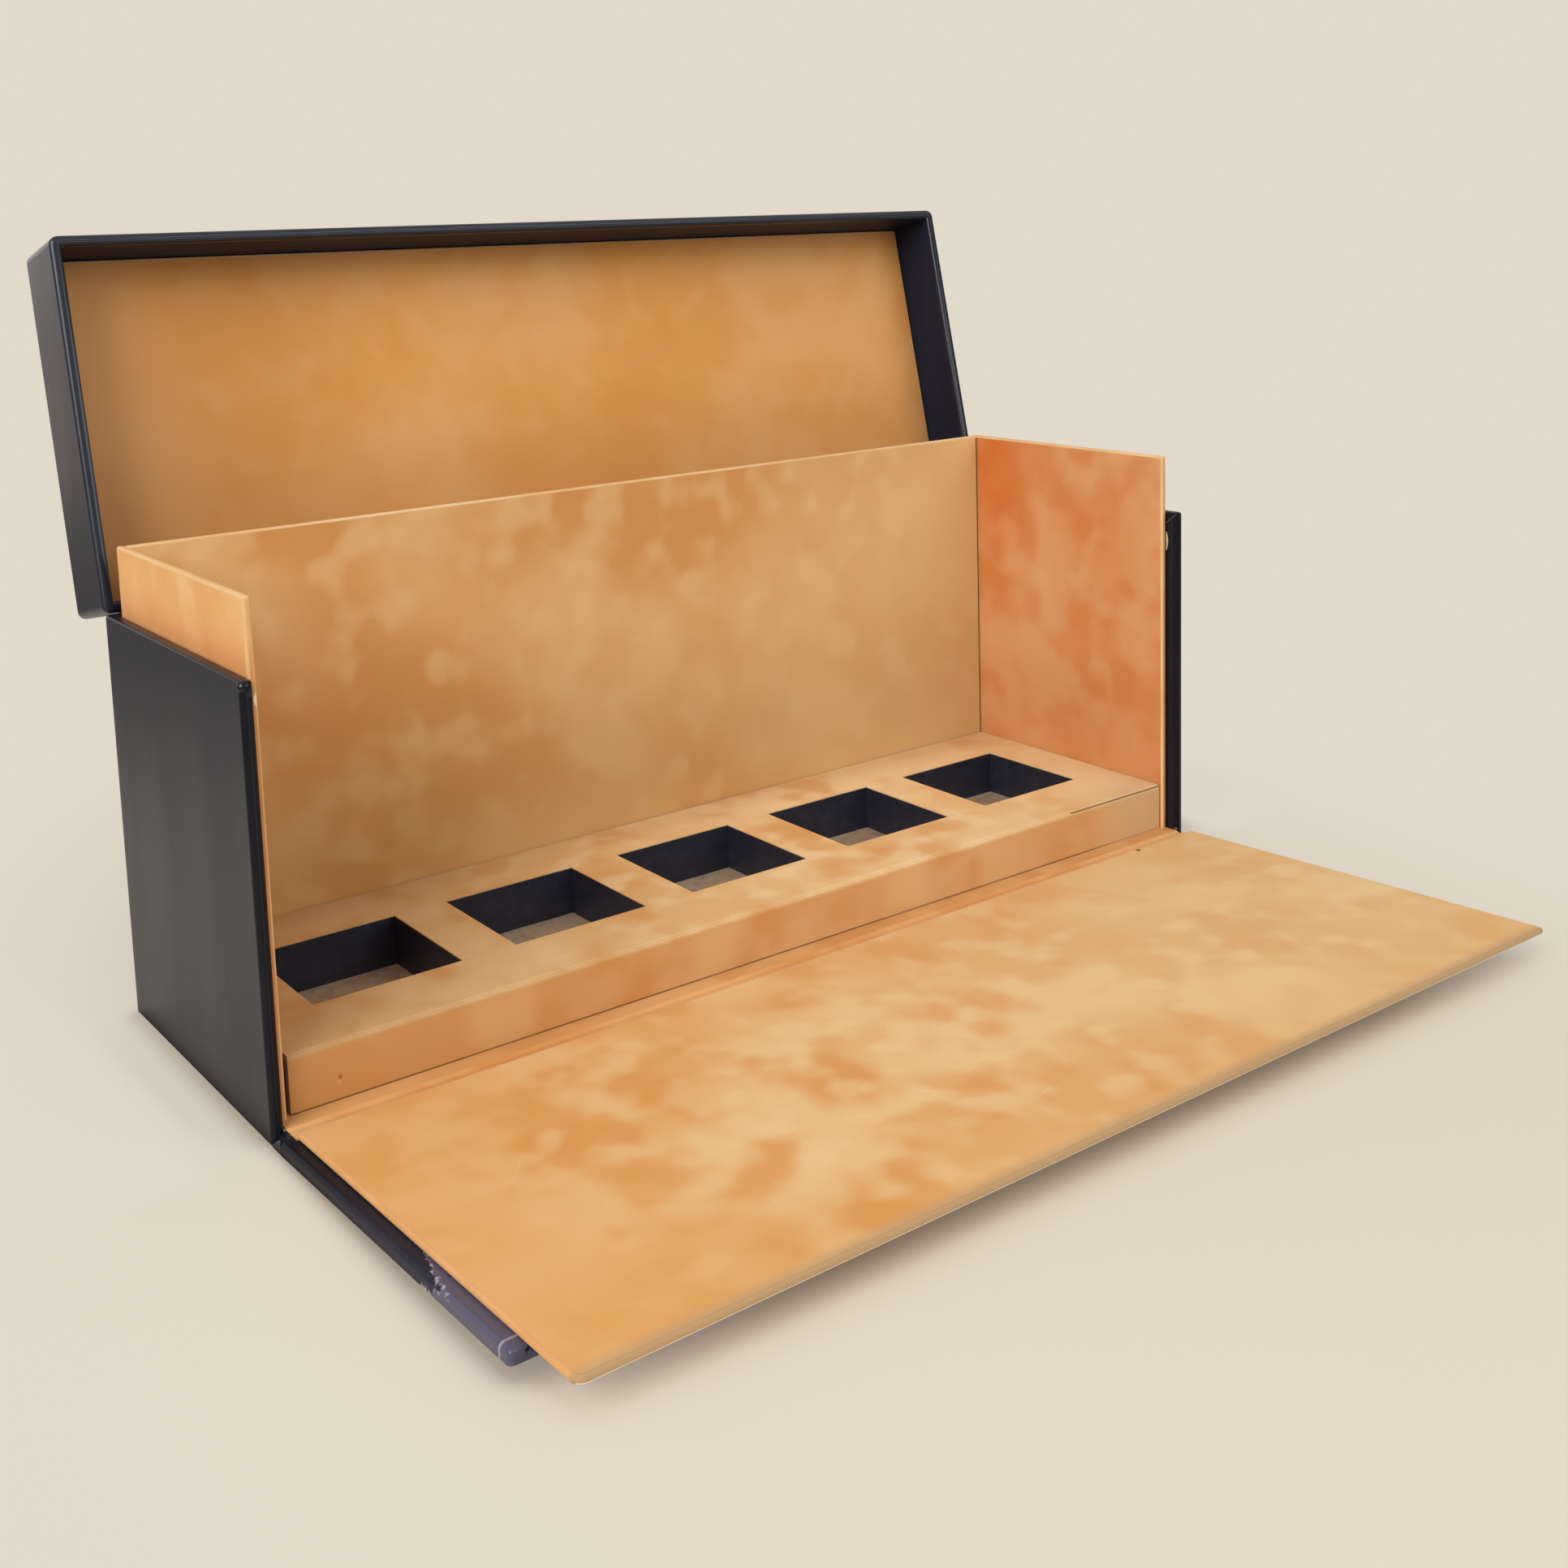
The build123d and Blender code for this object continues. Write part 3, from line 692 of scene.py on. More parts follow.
# %% Bottle platform
low, high = node_box("platform_cover")
windows = []
for name in nodes:
    if name.startswith("pocket_sleeve"):
        sleeve_low, sleeve_high = node_box(name)
        windows.append(((sleeve_low[0] + sleeve_high[0]) / 2, (sleeve_low[1] + sleeve_high[1]) / 2))
window_half = 15.8
slit_length = 1.7
slit_width = 0.18
window_front = windows[0][1] - window_half
window_back = windows[0][1] + window_half

platform = sheet(
    "platform_suede", (low[0], low[1], high[2]), (high[0], high[1], high[2]), suede_deck, suede_deck)
for y in (window_front, window_front + slit_width, window_back):
    cut("Y", y)
for x, y in windows:
    for line in (x - window_half, x + window_half, x + window_half + slit_length):
        cut("X", line)


def in_window(middle, normal):
    """Windows, and the slits that run on from their front right corners."""
    for x, y in windows:
        if abs(middle.x - x) < window_half and abs(middle.y - y) < window_half:
            return True
        if 0 < middle.x - x - window_half < slit_length and 0 < middle.y - window_front < slit_width:
            return True
    return False


print("windows and slits deleted:", pick_faces(in_window))
bpy.ops.mesh.delete(type="FACE")
pick_edges(lambda a, b: at_depth(a, b, low[1]))
bpy.ops.mesh.extrude_edges_move(TRANSFORM_OT_translate={"value": (0, 0, (low[2] - high[2]) * mm)})
face_up(True)
pick_edges(lambda a, b: at_depth(a, b, low[1]) and at_height(a, b, high[2]))
round_folds(0.9, 6)
paper(platform, suede_thick)
settle(platform, "root", "platform_cover")

# %% [markdown]
# ## Front flap panel
#
# The inner face of the flap is a suede-covered panel that stands in front of the neck when the
# box is shut. It is thin, with corners that the paper rounds off. It is modelled lying flat on
# the hinge line and then tilted with the flap, which its new fold still lifts a little.

# %% Front flap panel
flap_panel_half = 117.4
flap_panel_from = -2.65
flap_panel_to = -97.8
flap_inner = 2.2
neck_thick = 1.5
corner_worn = 2.0
corner_sharp = 0.8
panel_fold = 0.68


def worn_corner(corner):
    """True near the panel's front left corner, which is the most worn."""
    return corner.x < 0 and corner.y < flap_panel_to + 5


flap_board_piece = block(
    "flap_panel_board",
    (-flap_panel_half + suede_thick, flap_panel_to + suede_thick, flap_inner + suede_thick),
    (flap_panel_half - suede_thick, flap_panel_from - suede_thick, flap_inner + neck_thick - suede_thick),
    greyboard, greyboard)
pick_edges(lambda a, b: upright(a, b) and worn_corner(a))
round_folds(corner_worn - suede_thick, 6)
pick_turns(lambda a, b: True)
round_folds(panel_fold - suede_thick)
board_done(flap_board_piece, "neck_front_board", "flap", flap_rest)

flap_panel = block(
    "flap_panel_suede", (-flap_panel_half, flap_panel_to, flap_inner),
    (flap_panel_half, flap_panel_from, flap_inner + neck_thick), suede_flap, suede_edge)
pick_edges(lambda a, b: upright(a, b) and worn_corner(a))
round_folds(corner_worn, 6)
pick_edges(lambda a, b: upright(a, b) and not worn_corner(a))
round_folds(corner_sharp, 4)
pick_turns(lambda a, b: True)
round_folds(panel_fold)
paper(flap_panel, suede_thick)
settle(flap_panel, "flap", "neck_front_cover", flap_rest)

# %% [markdown]
# ## The flap's fold
#
# A strip of suede runs from the floor lining across the groove at the hinge onto the flap, so the
# box has no open crack when the flap is down. It is soft and sinks a little into the groove. The
# strip is a plane cut into narrow rows, and each row is lowered or lifted one by one, so it bends
# between case and flap.

# %% The flap's fold
strip_low, strip_high = node_box("flap_hinge_lining")
fold_line = -39.36
groove_back = strip_high[1]
groove_sag = 0.35
strip_rows = 16
flap_fold = sheet(
    "flap_fold_suede", (strip_low[0], strip_low[1], strip_low[2] + suede_thick),
    (strip_high[0], strip_high[1], strip_low[2] + suede_thick), suede_strip, suede_worn_highlit)
row_step = (strip_high[1] - strip_low[1]) / strip_rows
for row in range(1, strip_rows):
    cut("Y", strip_low[1] + row * row_step)
bpy.ops.mesh.select_mode(type="EDGE")
for row in range(strip_rows + 1):
    y = strip_low[1] + row * row_step
    lift = max(0, fold_line - y) * math.tan(math.radians(-flap_turn))
    if fold_line < y < groove_back:
        lift = -groove_sag * math.sin(math.pi * (y - fold_line) / (groove_back - fold_line)) ** 2
    pick_edges(lambda a, b: at_depth(a, b, y))
    move(0, 0, lift)
paper(flap_fold, suede_thick)
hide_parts("flap_hinge_lining")
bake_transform(flap_fold)

# %% [markdown]
# ## The lid's fold
#
# The lid hangs on a strip of leatherette that is pasted down the back of the case and up the back
# of the lid. It starts as a plane standing on the case's back, its upper edge is extruded out
# along the open lid, and the fold is rounded.

# %% The lid's fold
strip_half = 117.0
strip_reach = 4.0
strip_proud = 0.05
lid_fold = sheet(
    "lid_fold_paper", (-strip_half, -strip_reach, 0), (strip_half, 0, 0), navy_paper, navy_fold)
pick_edges(lambda a, b: at_depth(a, b, 0))
lean = math.radians(-lid_turn - 90)
bpy.ops.mesh.extrude_edges_move(TRANSFORM_OT_translate={
    "value": (0, -strip_reach * math.sin(lean) * mm, -strip_reach * math.cos(lean) * mm)})
face_up(False)
pick_edges(lambda a, b: at_depth(a, b, 0) and at_height(a, b, 0))
round_folds(0.3, 5)
paper(lid_fold, paper_thick)
stand(lid_fold, (0, lid_hinge[1] + strip_proud, lid_hinge[2]), 90)
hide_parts("lid_hinge_strip")
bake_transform(lid_fold)

# %% [markdown]
# ## Lid lining
#
# The lid's lining is a suede-wrapped board pressed into the lid's top, so its soft edges touch
# the walls. It is modelled as if the lid were shut, where it lies level, and then turned up with
# the lid.

# %% Lid lining
lining_half = 117.5
lining_near = -75.5
lining_far = -2.5
lining_face = 14.55
lid_inside = 17.3
lid_lining = block(
    "lid_lining_suede", (-lining_half, lining_near, lining_face), (lining_half, lining_far, lid_inside),
    suede_lid, suede_worn_highlit)
pick_faces(lambda middle, normal: normal.z > 0.9)
bpy.ops.mesh.delete(type="FACE")
pick_edges(lambda a, b: not at_height(a, b, lid_inside))
round_folds(suede_fold)
paper(lid_lining, suede_thick)
settle(lid_lining, "lid", "lid_lining_cover", lid_rest)

# %% [markdown]
# ## Case paper
#
# One sheet of leatherette goes round the case's three walls and is turned in over the rim and the
# front edges. A block is cut along the walls' inner faces, the middle is taken out, and the inner
# edges of the rim are extruded down to make the inside of the walls. Merging the doubled points
# closes the shape. Every edge that a hand has rubbed the paper over is rounded. The front edges
# are almost half round and the rim is sharper. The boards inside are rounded too, or their sharp
# edges would stand out of the paper.

# %% Case boards
wall = 2.4
paper_fold = 1.05
rim_fold = 0.55
rear_fold = 0.85
board_fold = paper_fold - paper_thick
low, high = node_box("left_board")
left_wall_board = block("left_wall_board", low, high, greyboard, greyboard)
pick_edges(lambda a, b: upright(a, b) and near(a.y, low[1]))
round_folds(board_fold, 5)
pick_turns(lambda a, b: at_height(a, b, high[2]))
round_folds(rim_fold - paper_thick, 3)
board_done(left_wall_board, "left_board", "root")
right_shift = node_box("right_board")[0][0] - low[0]
right_wall_board = copy_to(left_wall_board, "right_wall_board", (right_shift, 0, 0))
settle(right_wall_board, "root", "right_board")

low, high = node_box("back_board")
back_wall_board = block("back_wall_board", low, high, greyboard, greyboard)
pick_edges(lambda a, b: at_height(a, b, high[2]) and near(a.y, b.y))
round_folds(rim_fold - paper_thick, 3)
board_done(back_wall_board, "back_board", "root")

# %% Case paper
wall_in = case_high[0] - wall
back_in = case_high[1] - wall
case_front = case_low[1]
case_foot = case_low[2]

case_paper = block("case_paper", case_low, case_high, navy_paper, navy_edge)
cut("X", wall_in)
cut("X", -wall_in)
cut("Y", back_in)
pick_faces(lambda middle, normal: abs(middle.x) < wall_in and middle.y < back_in and (
    abs(normal.z) > 0.9 or normal.y < -0.9))
bpy.ops.mesh.delete(type="FACE")


def on_inner_rim(a, b):
    """An edge of the rim on the inner side of the walls."""
    level = at_height(a, b, case_rim)
    side = near(abs(a.x), wall_in) and near(a.x, b.x) and max(a.y, b.y) < back_in + 0.01
    rear = at_depth(a, b, back_in) and max(abs(a.x), abs(b.x)) < wall_in + 0.01
    return level and (side or rear)


print("inner rim edges:", pick_edges(on_inner_rim))
bpy.ops.mesh.extrude_edges_move(TRANSFORM_OT_translate={"value": (0, 0, (case_foot - case_rim) * mm)})
bpy.ops.mesh.select_all(action="SELECT")
bpy.ops.mesh.remove_doubles(threshold=0.01 * mm)
bpy.ops.mesh.normals_make_consistent(inside=False)
pick_edges(lambda a, b: upright(a, b) and near(a.y, case_front))
round_folds(paper_fold, 6)
pick_edges(lambda a, b: upright(a, b) and near(a.y, case_high[1]) and near(abs(a.x), case_high[0]))
round_folds(rear_fold, 5)
print("rim edges:", pick_turns(lambda a, b: at_height(a, b, case_rim)))
round_folds(rim_fold, 4)
paper(case_paper, paper_thick)
settle(case_paper, "root", "case_wrap")

# %% [markdown]
# ## Tucks at the rim's front corners
#
# Where the rim's turned-in paper meets that of the front edge, the spare paper has to go
# somewhere. On the left it was pushed into a small round knob with a lobe that hangs on the inner
# side. That one starts as a sphere a little larger than the wall is thick, and its lower inner
# points are pulled down. On the right it was folded over into a flat triangle on the wall's inner
# side, whose slanting edge is rubbed pale. Beside both the end of the paper has lifted, so a
# sliver of its white core shows along the neck.

# %% Tucks
core = board("paper_core", "#d8ccb6", "#c3b59d", 1.5 * mm, 0.9)
navy_tuck = leatherette("navy_leatherette_tuck", "#0c0d11", "#121318", 0.12, 0.6, 0.0)
worn_line = leatherette("navy_leatherette_worn_line", "#6a6c78", "#7b7d88", 0.3, 0.5, 0.0)
knob_middle = (-118.9, case_front + 1.0, 82.9)
knob_stretch = (1.36, 1.14, 1.18)
bpy.ops.object.select_all(action="DESELECT")
bpy.ops.mesh.primitive_uv_sphere_add(segments=24, ring_count=14, radius=1.0 * mm)
knob = bpy.context.object
knob.name = "rim_tuck_left"
knob.location = [v * mm for v in knob_middle]
knob.scale = knob_stretch
bpy.ops.object.transform_apply(location=True, rotation=True, scale=True)
knob.data.materials.append(navy_tuck)
bpy.ops.object.mode_set(mode="EDIT")
for level, drop in ((83.0, 0.35), (82.6, 0.45), (82.2, 0.5)):
    pick_points(lambda p: p.x > knob_middle[0] and p.z < level)
    move(0, 0, -drop)
bpy.ops.object.mode_set(mode="OBJECT")
bpy.ops.object.shade_smooth()
settle(knob, "root")

neck_front = node_box("neck_right_cover")[0][1]
tuck_foot = 81.2
tuck_top = 83.85
tuck_slant = 2.5
tuck_proud = 0.14
tuck_sunk = 0.04
tuck = block(
    "rim_tuck_right", (wall_in - tuck_proud, case_front + 0.15, tuck_foot),
    (wall_in + tuck_sunk, neck_front + 0.1, tuck_top), navy_edge, worn_line)
pick_points(lambda p: p.y < case_front + 0.5 and near(p.z, tuck_foot))
move(0, 0, tuck_slant)
pick_edges(lambda a, b: max(a.x, b.x) < wall_in and abs(a.y - b.y) > 0.1 and abs(a.z - b.z) > 0.5)
round_folds(0.1, 2)
close_piece()
settle(tuck, "root")

sliver_rows = 6
sliver_half = (0.06, 0.05)
for name, foot, top, x, y, bulge in (
        ("lifted_paper_left", 79.4, 81.7, -117.38, case_front - 0.05, (-0.3, 0.0)),
        ("lifted_paper_right", 74.4, 79.0, 117.48, neck_front - 0.05, (0.0, -0.45))):
    sliver = block(
        name, (x - sliver_half[0], y - sliver_half[1], foot),
        (x + sliver_half[0], y + sliver_half[1], top), core, core)
    heights = [foot + (top - foot) * row / sliver_rows for row in range(1, sliver_rows)]
    for height in heights:
        cut("Z", height)
    for height in heights:
        pick_points(lambda p: near(p.z, height) and (p.x - x) * bulge[0] + (p.y - y) * bulge[1] > 0)
        swell = math.sin(math.pi * (height - foot) / (top - foot))
        move(bulge[0] * swell, bulge[1] * swell, 0)
    close_piece(30)
    settle(sliver, "root")
print("tucks and lifted paper at both rim corners")

# %% [markdown]
# ## Lid paper
#
# The lid is a shallow tray. Its opening is made by insetting the block's lower face by the wall's
# thickness and extruding it inwards, which leaves the rim. It is modelled shut and level, and
# turned up afterwards.

# %% Lid boards
lid_corner = 2.0
hinge_corner = 1.7
lid_depth = 78.01
lid_rim = 0.2
lid_top = 19.7
board_half = case_high[0] - paper_thick
board_in = wall_in + paper_thick
board_foot = lid_rim + paper_thick
top_board_foot = lid_inside + paper_thick
top_board_top = lid_top - paper_thick
board_near = -lid_depth + paper_thick
board_far = -paper_thick


def round_lid_corners(half, front, rear, inset):
    """Rounds the outer corners of a piece of the lid that lies inset from its paper."""
    for y, radius in ((front, lid_corner), (rear, hinge_corner)):
        pick_edges(lambda a, b: upright(a, b) and near(abs(a.x), half) and near(a.y, y))
        round_folds(radius - inset, 8)


lid_side_board = block(
    "lid_left_wall_board", (-board_half, board_near, board_foot), (-board_in, board_far, top_board_foot),
    greyboard, greyboard)
round_lid_corners(board_half, board_near, board_far, paper_thick)
pick_turns(lambda a, b: at_height(a, b, board_foot))
round_folds(board_fold, 4)
board_done(lid_side_board, "lid_left_board", "lid", lid_rest)
lid_other_side = mirror_to(lid_side_board, "lid_right_wall_board")
settle(lid_other_side, "lid", "lid_right_board")

for name, start in (("front", board_near), ("back", board_far - board_half + board_in)):
    lid_long_board = block(
        "lid_" + name + "_wall_board", (-board_in, start, board_foot),
        (board_in, start + board_half - board_in, top_board_foot), greyboard, greyboard)
    pick_edges(lambda a, b: at_height(a, b, board_foot) and near(a.y, b.y))
    round_folds(board_fold, 4)
    board_done(lid_long_board, "lid_" + name + "_board", "lid", lid_rest)

lid_top_piece = block(
    "lid_top_panel_board", (-board_half, board_near, top_board_foot),
    (board_half, board_far, top_board_top), greyboard, greyboard)
round_lid_corners(board_half, board_near, board_far, paper_thick)
pick_turns(lambda a, b: at_height(a, b, top_board_top))
round_folds(board_fold, 4)
board_done(lid_top_piece, "lid_top_board", "lid", lid_rest)

# %% Lid paper
lid_paper = block(
    "lid_paper", (-case_high[0], -lid_depth, lid_rim), (case_high[0], 0, lid_top), navy_paper, navy_fold)
pick_faces(lambda middle, normal: normal.z < -0.9)
bpy.ops.mesh.inset(thickness=wall * mm)
bpy.ops.mesh.extrude_region_move(TRANSFORM_OT_translate={"value": (0, 0, (lid_inside - lid_rim) * mm)})
lid_paper.data.materials.append(navy_inside)
pick_faces(lambda middle, normal: lid_rim + 0.1 < middle.z < lid_top - 0.1 and (
    abs(middle.x) < wall_in + 0.1 and -lid_depth + wall - 0.1 < middle.y < 0.1 - wall))
lid_paper.active_material_index = 2
bpy.ops.object.material_slot_assign()
round_lid_corners(case_high[0], -lid_depth, 0, 0)
pick_turns(lambda a, b: near(a.z, b.z) and (near(a.z, lid_rim) or near(a.z, lid_top)))
round_folds(paper_fold, 6)
paper(lid_paper, paper_thick)
settle(lid_paper, "lid", "lid_wrap", lid_rest)

# %% [markdown]
# ## Flap paper
#
# The flap's leatherette shows as a dark border beside and under the suede panel. It is a closed
# wrapping with all its edges rubbed round. At its front left end a rest of the leatherette's
# protecting film has gone milky, which gives a purple-grey patch with a torn edge, white scuffs
# along the tear and a crease at the corner. The tear is a place along the flap that reaches less
# far on the outer fold, so a dark tongue stays there, and noise makes it ragged. The milky film
# shines, while the bare paper before it is dull. Between the fold and the patch the left border is
# painted a paler purple-grey, a painted reflection of the pale room.

# %% Leatherette with a milky patch
film_tear = -104.0
film_ragged = 2.5
film_end = -116.0
flap_crest = 4.45
scuff = 1.1
navy_film = leatherette("navy_leatherette_film", "#14161f", "#191b25", 0.26)
tree = navy_film.node_tree
place = add(tree, "TexCoord").outputs["Object"]
split = add(tree, "SeparateXYZ", {0: place})
jag = add(tree, "TexNoise", {"Vector": place, "Scale": 1 / (film_ragged * mm), "Detail": 3.0})
jag = add(tree, "MapRange", {
    "Value": jag, "From Min": 0.3, "From Max": 0.7,
    "To Min": -film_ragged * mm, "To Max": film_ragged * mm,
})
inward = add(tree, "MapRange", {
    "Value": split.outputs["X"], "From Min": -120 * mm, "From Max": -117.4 * mm, "To Max": 12 * mm,
})
down = add(tree, "MapRange", {
    "Value": split.outputs["Z"], "From Min": flap_crest * mm, "From Max": 2.0 * mm, "To Max": 8 * mm,
})
along = add(tree, "Math", {0: split.outputs["Y"], 1: jag}, operation="ADD")
for shorter in (inward, down):
    along = add(tree, "Math", {0: along, 1: shorter}, operation="SUBTRACT")
milky = add(tree, "MapRange", {
    "Value": along, "From Min": film_tear * mm, "From Max": (film_tear - 0.6) * mm, "To Max": 0.9,
}, **smooth)
left_end = add(tree, "Math", {0: split.outputs["X"], 1: jag}, operation="ADD")
left_end = add(tree, "MapRange", {
    "Value": left_end, "From Min": film_end * mm, "From Max": (film_end + 1) * mm,
    "To Min": 1.0, "To Max": 0.0,
})
milky = add(tree, "Math", {0: milky, 1: left_end}, operation="MULTIPLY")
# Painted reflection: the left border turns a paler purple-grey between the fold and the patch.
painted_reflection = add(tree, "MapRange", {
    "Value": split.outputs["Y"], "From Min": -50.0 * mm, "From Max": -85.0 * mm, "To Max": 0.35,
}, **smooth)
painted_reflection = add(tree, "Math", {0: painted_reflection, 1: left_end}, operation="MULTIPLY")
paint_over(navy_film, painted_reflection, "#3a394d")
paint_over(navy_film, milky, "#53526a")
shine = add(tree, "MapRange", {"Value": milky, "To Min": 0.13, "To Max": 0.6})
tree.links.new(shine.outputs[0], tree.nodes["Principled BSDF"].inputs["Specular IOR Level"])

# %% White scuffs along the tear
from_tear = add(tree, "Math", {0: along, 1: (film_tear - 1.2) * mm}, operation="SUBTRACT")
from_tear = add(tree, "Math", {0: from_tear}, operation="ABSOLUTE")
at_tear = add(tree, "MapRange", {
    "Value": from_tear, "From Min": 0.0, "From Max": 2.2 * mm, "To Min": 1.0, "To Max": 0.0,
})
scuffs = add(tree, "TexNoise", {
    "Vector": place, "Scale": 1 / (scuff * mm), "Detail": 3.0, "Distortion": 1.0,
})
scuffs = add(tree, "MapRange", {"Value": scuffs, "From Min": 0.5, "From Max": 0.6, "To Max": 0.8})
scuffed = add(tree, "Math", {0: at_tear, 1: scuffs}, operation="MULTIPLY")
scuffed = add(tree, "Math", {0: scuffed, 1: left_end}, operation="MULTIPLY")
paint_over(navy_film, scuffed, "#bdb9cb")
mark(navy_film, (-120.1, -120.3, 2.0), (-117.2, -120.2, 6.0), 0.4, 0.5, "#c2bfd0")
print("film torn at", film_tear, "mm along the flap")

# %% Flap board and paper
flap_length = 83.8
flap_low = (-case_high[0], -flap_length, -flap_hinge[2])
flap_high = (case_high[0], -0.03, flap_inner)
flap_core = block(
    "flap_core_board", [v + paper_thick for v in flap_low], [v - paper_thick for v in flap_high],
    greyboard, greyboard)
pick_edges(lambda a, b: max(a.z, b.z) > 0)
round_folds(board_fold, 4)
board_done(flap_core, "flap_board", "flap", flap_rest)

flap_paper = block("flap_paper", flap_low, flap_high, navy_film, navy_film)
pick_edges(lambda a, b: max(a.z, b.z) > 0)
round_folds(paper_fold, 5)
paper(flap_paper, paper_thick)
settle(flap_paper, "flap", "flap_wrap", flap_rest)

# %% [markdown]
# ## Fold corners
#
# Where the flap leaves the case, the leatherette runs on from the foot of the side wall to the
# flap without a gap. At each end of the fold it makes a small folded corner. Its outer edge runs
# down to the foot of the wall, so it meets the wall's front edge in a slanting crease, like the
# mitre of a picture frame.

# %% Fold corners
corner_front = flap_hinge[1] - 0.9
corner_middle = (flap_hinge[1] + case_front) / 2
corner_back = case_front + 0.6
corner_foot = 0.05
corner_top = 2.35
for side, name in ((-1, "fold_corner_left"), (1, "fold_corner_right")):
    outer = side * (case_high[0] - 0.03)
    inner = side * (wall_in - 0.3)
    fold_corner = block(
        name, (min(outer, inner), corner_front, corner_foot), (max(outer, inner), corner_back, corner_top),
        navy_paper, navy_fold)
    cut("Y", flap_hinge[1])
    cut("Y", corner_middle)
    for y, drop in ((corner_middle, 0.8), (corner_back, 2.1)):
        pick_points(lambda p: near(p.x, outer) and near(p.y, y) and near(p.z, corner_top))
        move(0, 0, -drop)
    pick_edges(lambda a, b: near(a.x, outer) and near(b.x, outer) and (
        min(a.z, b.z) > 0.2 and not near(a.y, b.y)))
    round_folds(0.4, 3)
    paper(fold_corner, paper_thick)
    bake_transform(fold_corner)

# %% [markdown]
# ## Floor, light and camera
#
# The box stands on a plain cream table under soft light from above. Near the box the floor is a
# matt surface that takes its shadow. Further out it turns into the same even cream as the
# background, so no horizon shows from any side. Beside the case's side walls, where light from
# both sides leaves hardly a shadow, the even cream starts at once. Close under the lifted flap a
# painted shadow darkens the floor towards brown where ambient occlusion finds it shut in, which
# keeps the shadow's edge crisp there. Far behind the box, where the backdrop starts to rise, it is
# bright, and the lid's outer side mirrors that place.

# %% Floor and background
cream = linear("#e2d9ca")
floor_size = 8.0
bpy.ops.object.select_all(action="DESELECT")
bpy.ops.mesh.primitive_plane_add(size=floor_size, location=(0, 0, -0.02 * mm))
floor = bpy.context.object
floor.name = "floor"
floor_paint, tree, shader = new_material("cream_table")
place = add(tree, "TexCoord").outputs["Object"]
reach = add(tree, "VectorMath", {0: place}, operation="LENGTH").outputs["Value"]
sideways = add(tree, "Mapping", {
    "Vector": place, "Location": (0.0, 48 * mm, 0.0), "Scale": (1.35, 0.8, 1.0),
})
sideways = add(tree, "VectorMath", {0: sideways}, operation="LENGTH").outputs["Value"]
away = add(tree, "MapRange", {
    "Value": sideways, "From Min": 100 * mm, "From Max": 260 * mm, "To Min": 0.08,
}, **smooth)
table_axes = add(tree, "SeparateXYZ", {0: place})
beside = add(tree, "Math", {0: table_axes.outputs["X"]}, operation="ABSOLUTE")
beside = add(tree, "MapRange", {
    "Value": beside, "From Min": 119 * mm, "From Max": 136 * mm, "To Max": 0.9,
}, **smooth)
at_case = add(tree, "MapRange", {
    "Value": table_axes.outputs["Y"], "From Min": -62 * mm, "From Max": -34 * mm,
}, **smooth)
beside = add(tree, "Math", {0: beside, 1: at_case}, operation="MULTIPLY")
away = add(tree, "Math", {0: away, 1: beside}, operation="MAXIMUM")
seen = add(tree, "LightPath").outputs["Is Camera Ray"]
even = add(tree, "Math", {0: away, 1: seen}, operation="MULTIPLY")
glow = add(tree, "Emission", {"Color": cream})
far_off = add(tree, "MapRange", {"Value": reach, "From Min": 160 * mm, "From Max": 450 * mm}, **smooth)
unseen = add(tree, "Math", {0: 1.0, 1: seen}, operation="SUBTRACT")
dim = add(tree, "Math", {0: far_off, 1: unseen}, operation="MULTIPLY")
table = add(tree, "Mix", {0: dim, 6: linear("#dfd8cc"), 7: linear("#8c8a88")}, data_type="RGBA").outputs[2]
# Painted shadow: the floor's colour turns dark brown where ambient occlusion finds it shut in.
hidden = add(tree, "AmbientOcclusion", {"Distance": 6 * mm}).outputs["AO"]
hidden = add(tree, "MapRange", {
    "Value": hidden, "From Min": 0.4, "From Max": 0.98, "To Min": 0.95, "To Max": 0.0,
}, **smooth)
table = add(tree, "Mix", {0: hidden, 6: table, 7: linear("#6f4f2e")}, data_type="RGBA").outputs[2]
curve = add(tree, "MapRange", {
    "Value": table_axes.outputs["Y"], "From Min": 550 * mm, "From Max": 1100 * mm,
}, **smooth)
rising = add(tree, "Math", {0: curve, 1: unseen}, operation="MULTIPLY")
table = add(tree, "Mix", {0: rising, 6: table, 7: linear("#fff0ea")}, data_type="RGBA").outputs[2]
tree.links.new(table, shader.inputs["Base Color"])
shader.inputs["Roughness"].default_value = 1.0
shader.inputs["Specular IOR Level"].default_value = 0.0
blend = add(tree, "MixShader", {0: even, 1: shader.outputs[0], 2: glow})
tree.links.new(blend.outputs[0], tree.nodes["Material Output"].inputs["Surface"])
floor.data.materials.append(floor_paint)
print("floor", floor_size, "m wide")

# %% [markdown]
# The room is brightest overhead, as under a large softbox, and at the pale backdrop behind the box.
# To the sides and in front it is dimmer. The dark leatherette mirrors all of this: the bright
# table close by makes the foot of its side wall grey, and the dim room keeps its top dark. What
# the camera sees of the room is the same even cream as the far floor.

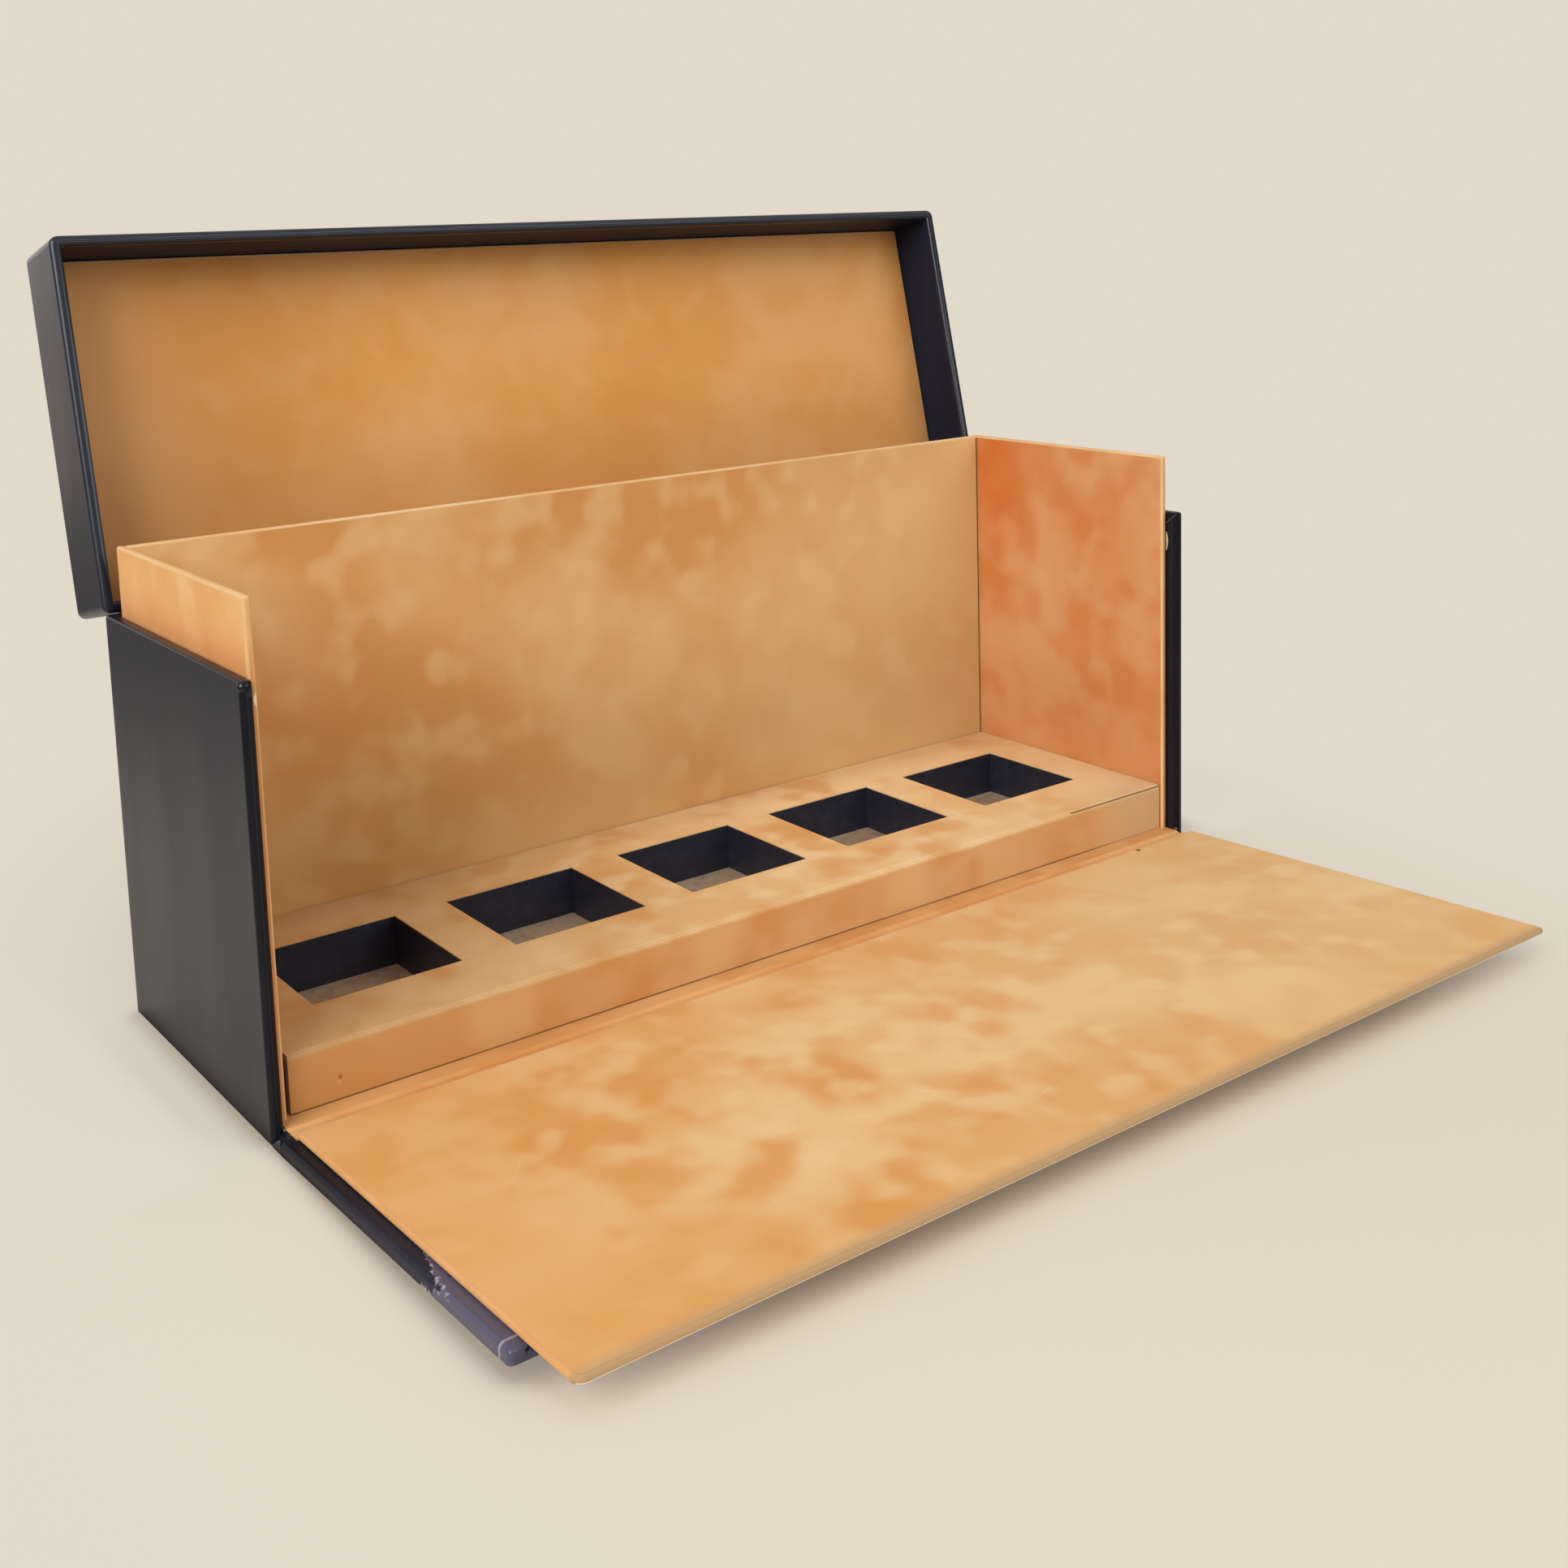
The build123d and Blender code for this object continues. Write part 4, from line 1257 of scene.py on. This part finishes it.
# %% Room light
world = bpy.data.worlds.new("soft_room")
bpy.context.scene.world = world
world.use_nodes = True
tree = world.node_tree
toward = add(tree, "TexCoord").outputs["Generated"]
split = add(tree, "SeparateXYZ", {0: toward})
overhead = add(tree, "MapRange", {"Value": split.outputs["Z"], "From Min": 0.1, "From Max": 0.75}, **smooth)
behind = add(tree, "MapRange", {"Value": split.outputs["Y"], "From Min": 0.5, "From Max": 0.95}, **smooth)
walls = add(tree, "Mix", {
    0: behind, 6: linear("#868689"), 7: linear("#f8f4ec"),
}, data_type="RGBA").outputs[2]
sky = add(tree, "Mix", {0: overhead, 6: walls, 7: linear("#d2cec8")}, data_type="RGBA").outputs[2]
room = add(tree, "Background", {"Color": sky, "Strength": 1.0})
backdrop = add(tree, "Background", {"Color": cream, "Strength": 1.0})
seen = add(tree, "LightPath").outputs["Is Camera Ray"]
both = add(tree, "MixShader", {0: seen, 1: room, 2: backdrop})
tree.links.new(both.outputs[0], tree.nodes["World Output"].inputs["Surface"])


# %% Soft light from above
def soft_light(name, place, target, size, power, colour):
    """A square area light at place, facing target."""
    data = bpy.data.lights.new(name, "AREA")
    data.size = size
    data.energy = power
    data.color = linear(colour)[:3]
    light = bpy.data.objects.new(name, data)
    light.location = place
    light.rotation_euler = (Vector(target) - Vector(place)).to_track_quat("-Z", "Y").to_euler()
    bpy.context.scene.collection.objects.link(light)
    return light


box_middle = (0, 0, 0.06)
soft_light("front_light", (0.6, -1.2, 0.7), box_middle, 0.9, 5.0, "#fffaf4")
soft_light("left_light", (-1.15, -0.55, 0.85), box_middle, 0.9, 15.0, "#fffaf4")

# %% Camera at the photograph's viewing angle
photo_side = 1932
focal_pixels = 2251.4
lens_middle = (9.9, -390.0)
camera_place = (-226.91, -335.17, 159.92)
camera_turn = (82.115, 1.656, -37.354)
camera_data = bpy.data.cameras.new("camera")
camera_data.sensor_width = 36.0
camera_data.lens = focal_pixels / photo_side * camera_data.sensor_width
camera_data.shift_x = -lens_middle[0] / photo_side
camera_data.shift_y = lens_middle[1] / photo_side
camera = bpy.data.objects.new("camera", camera_data)
camera.location = [v * mm for v in camera_place]
camera.rotation_euler = [math.radians(angle) for angle in camera_turn]
bpy.context.scene.collection.objects.link(camera)
bpy.context.scene.camera = camera
bpy.context.scene.view_settings.view_transform = "Standard"
print("camera lens", round(camera_data.lens, 2), "mm")
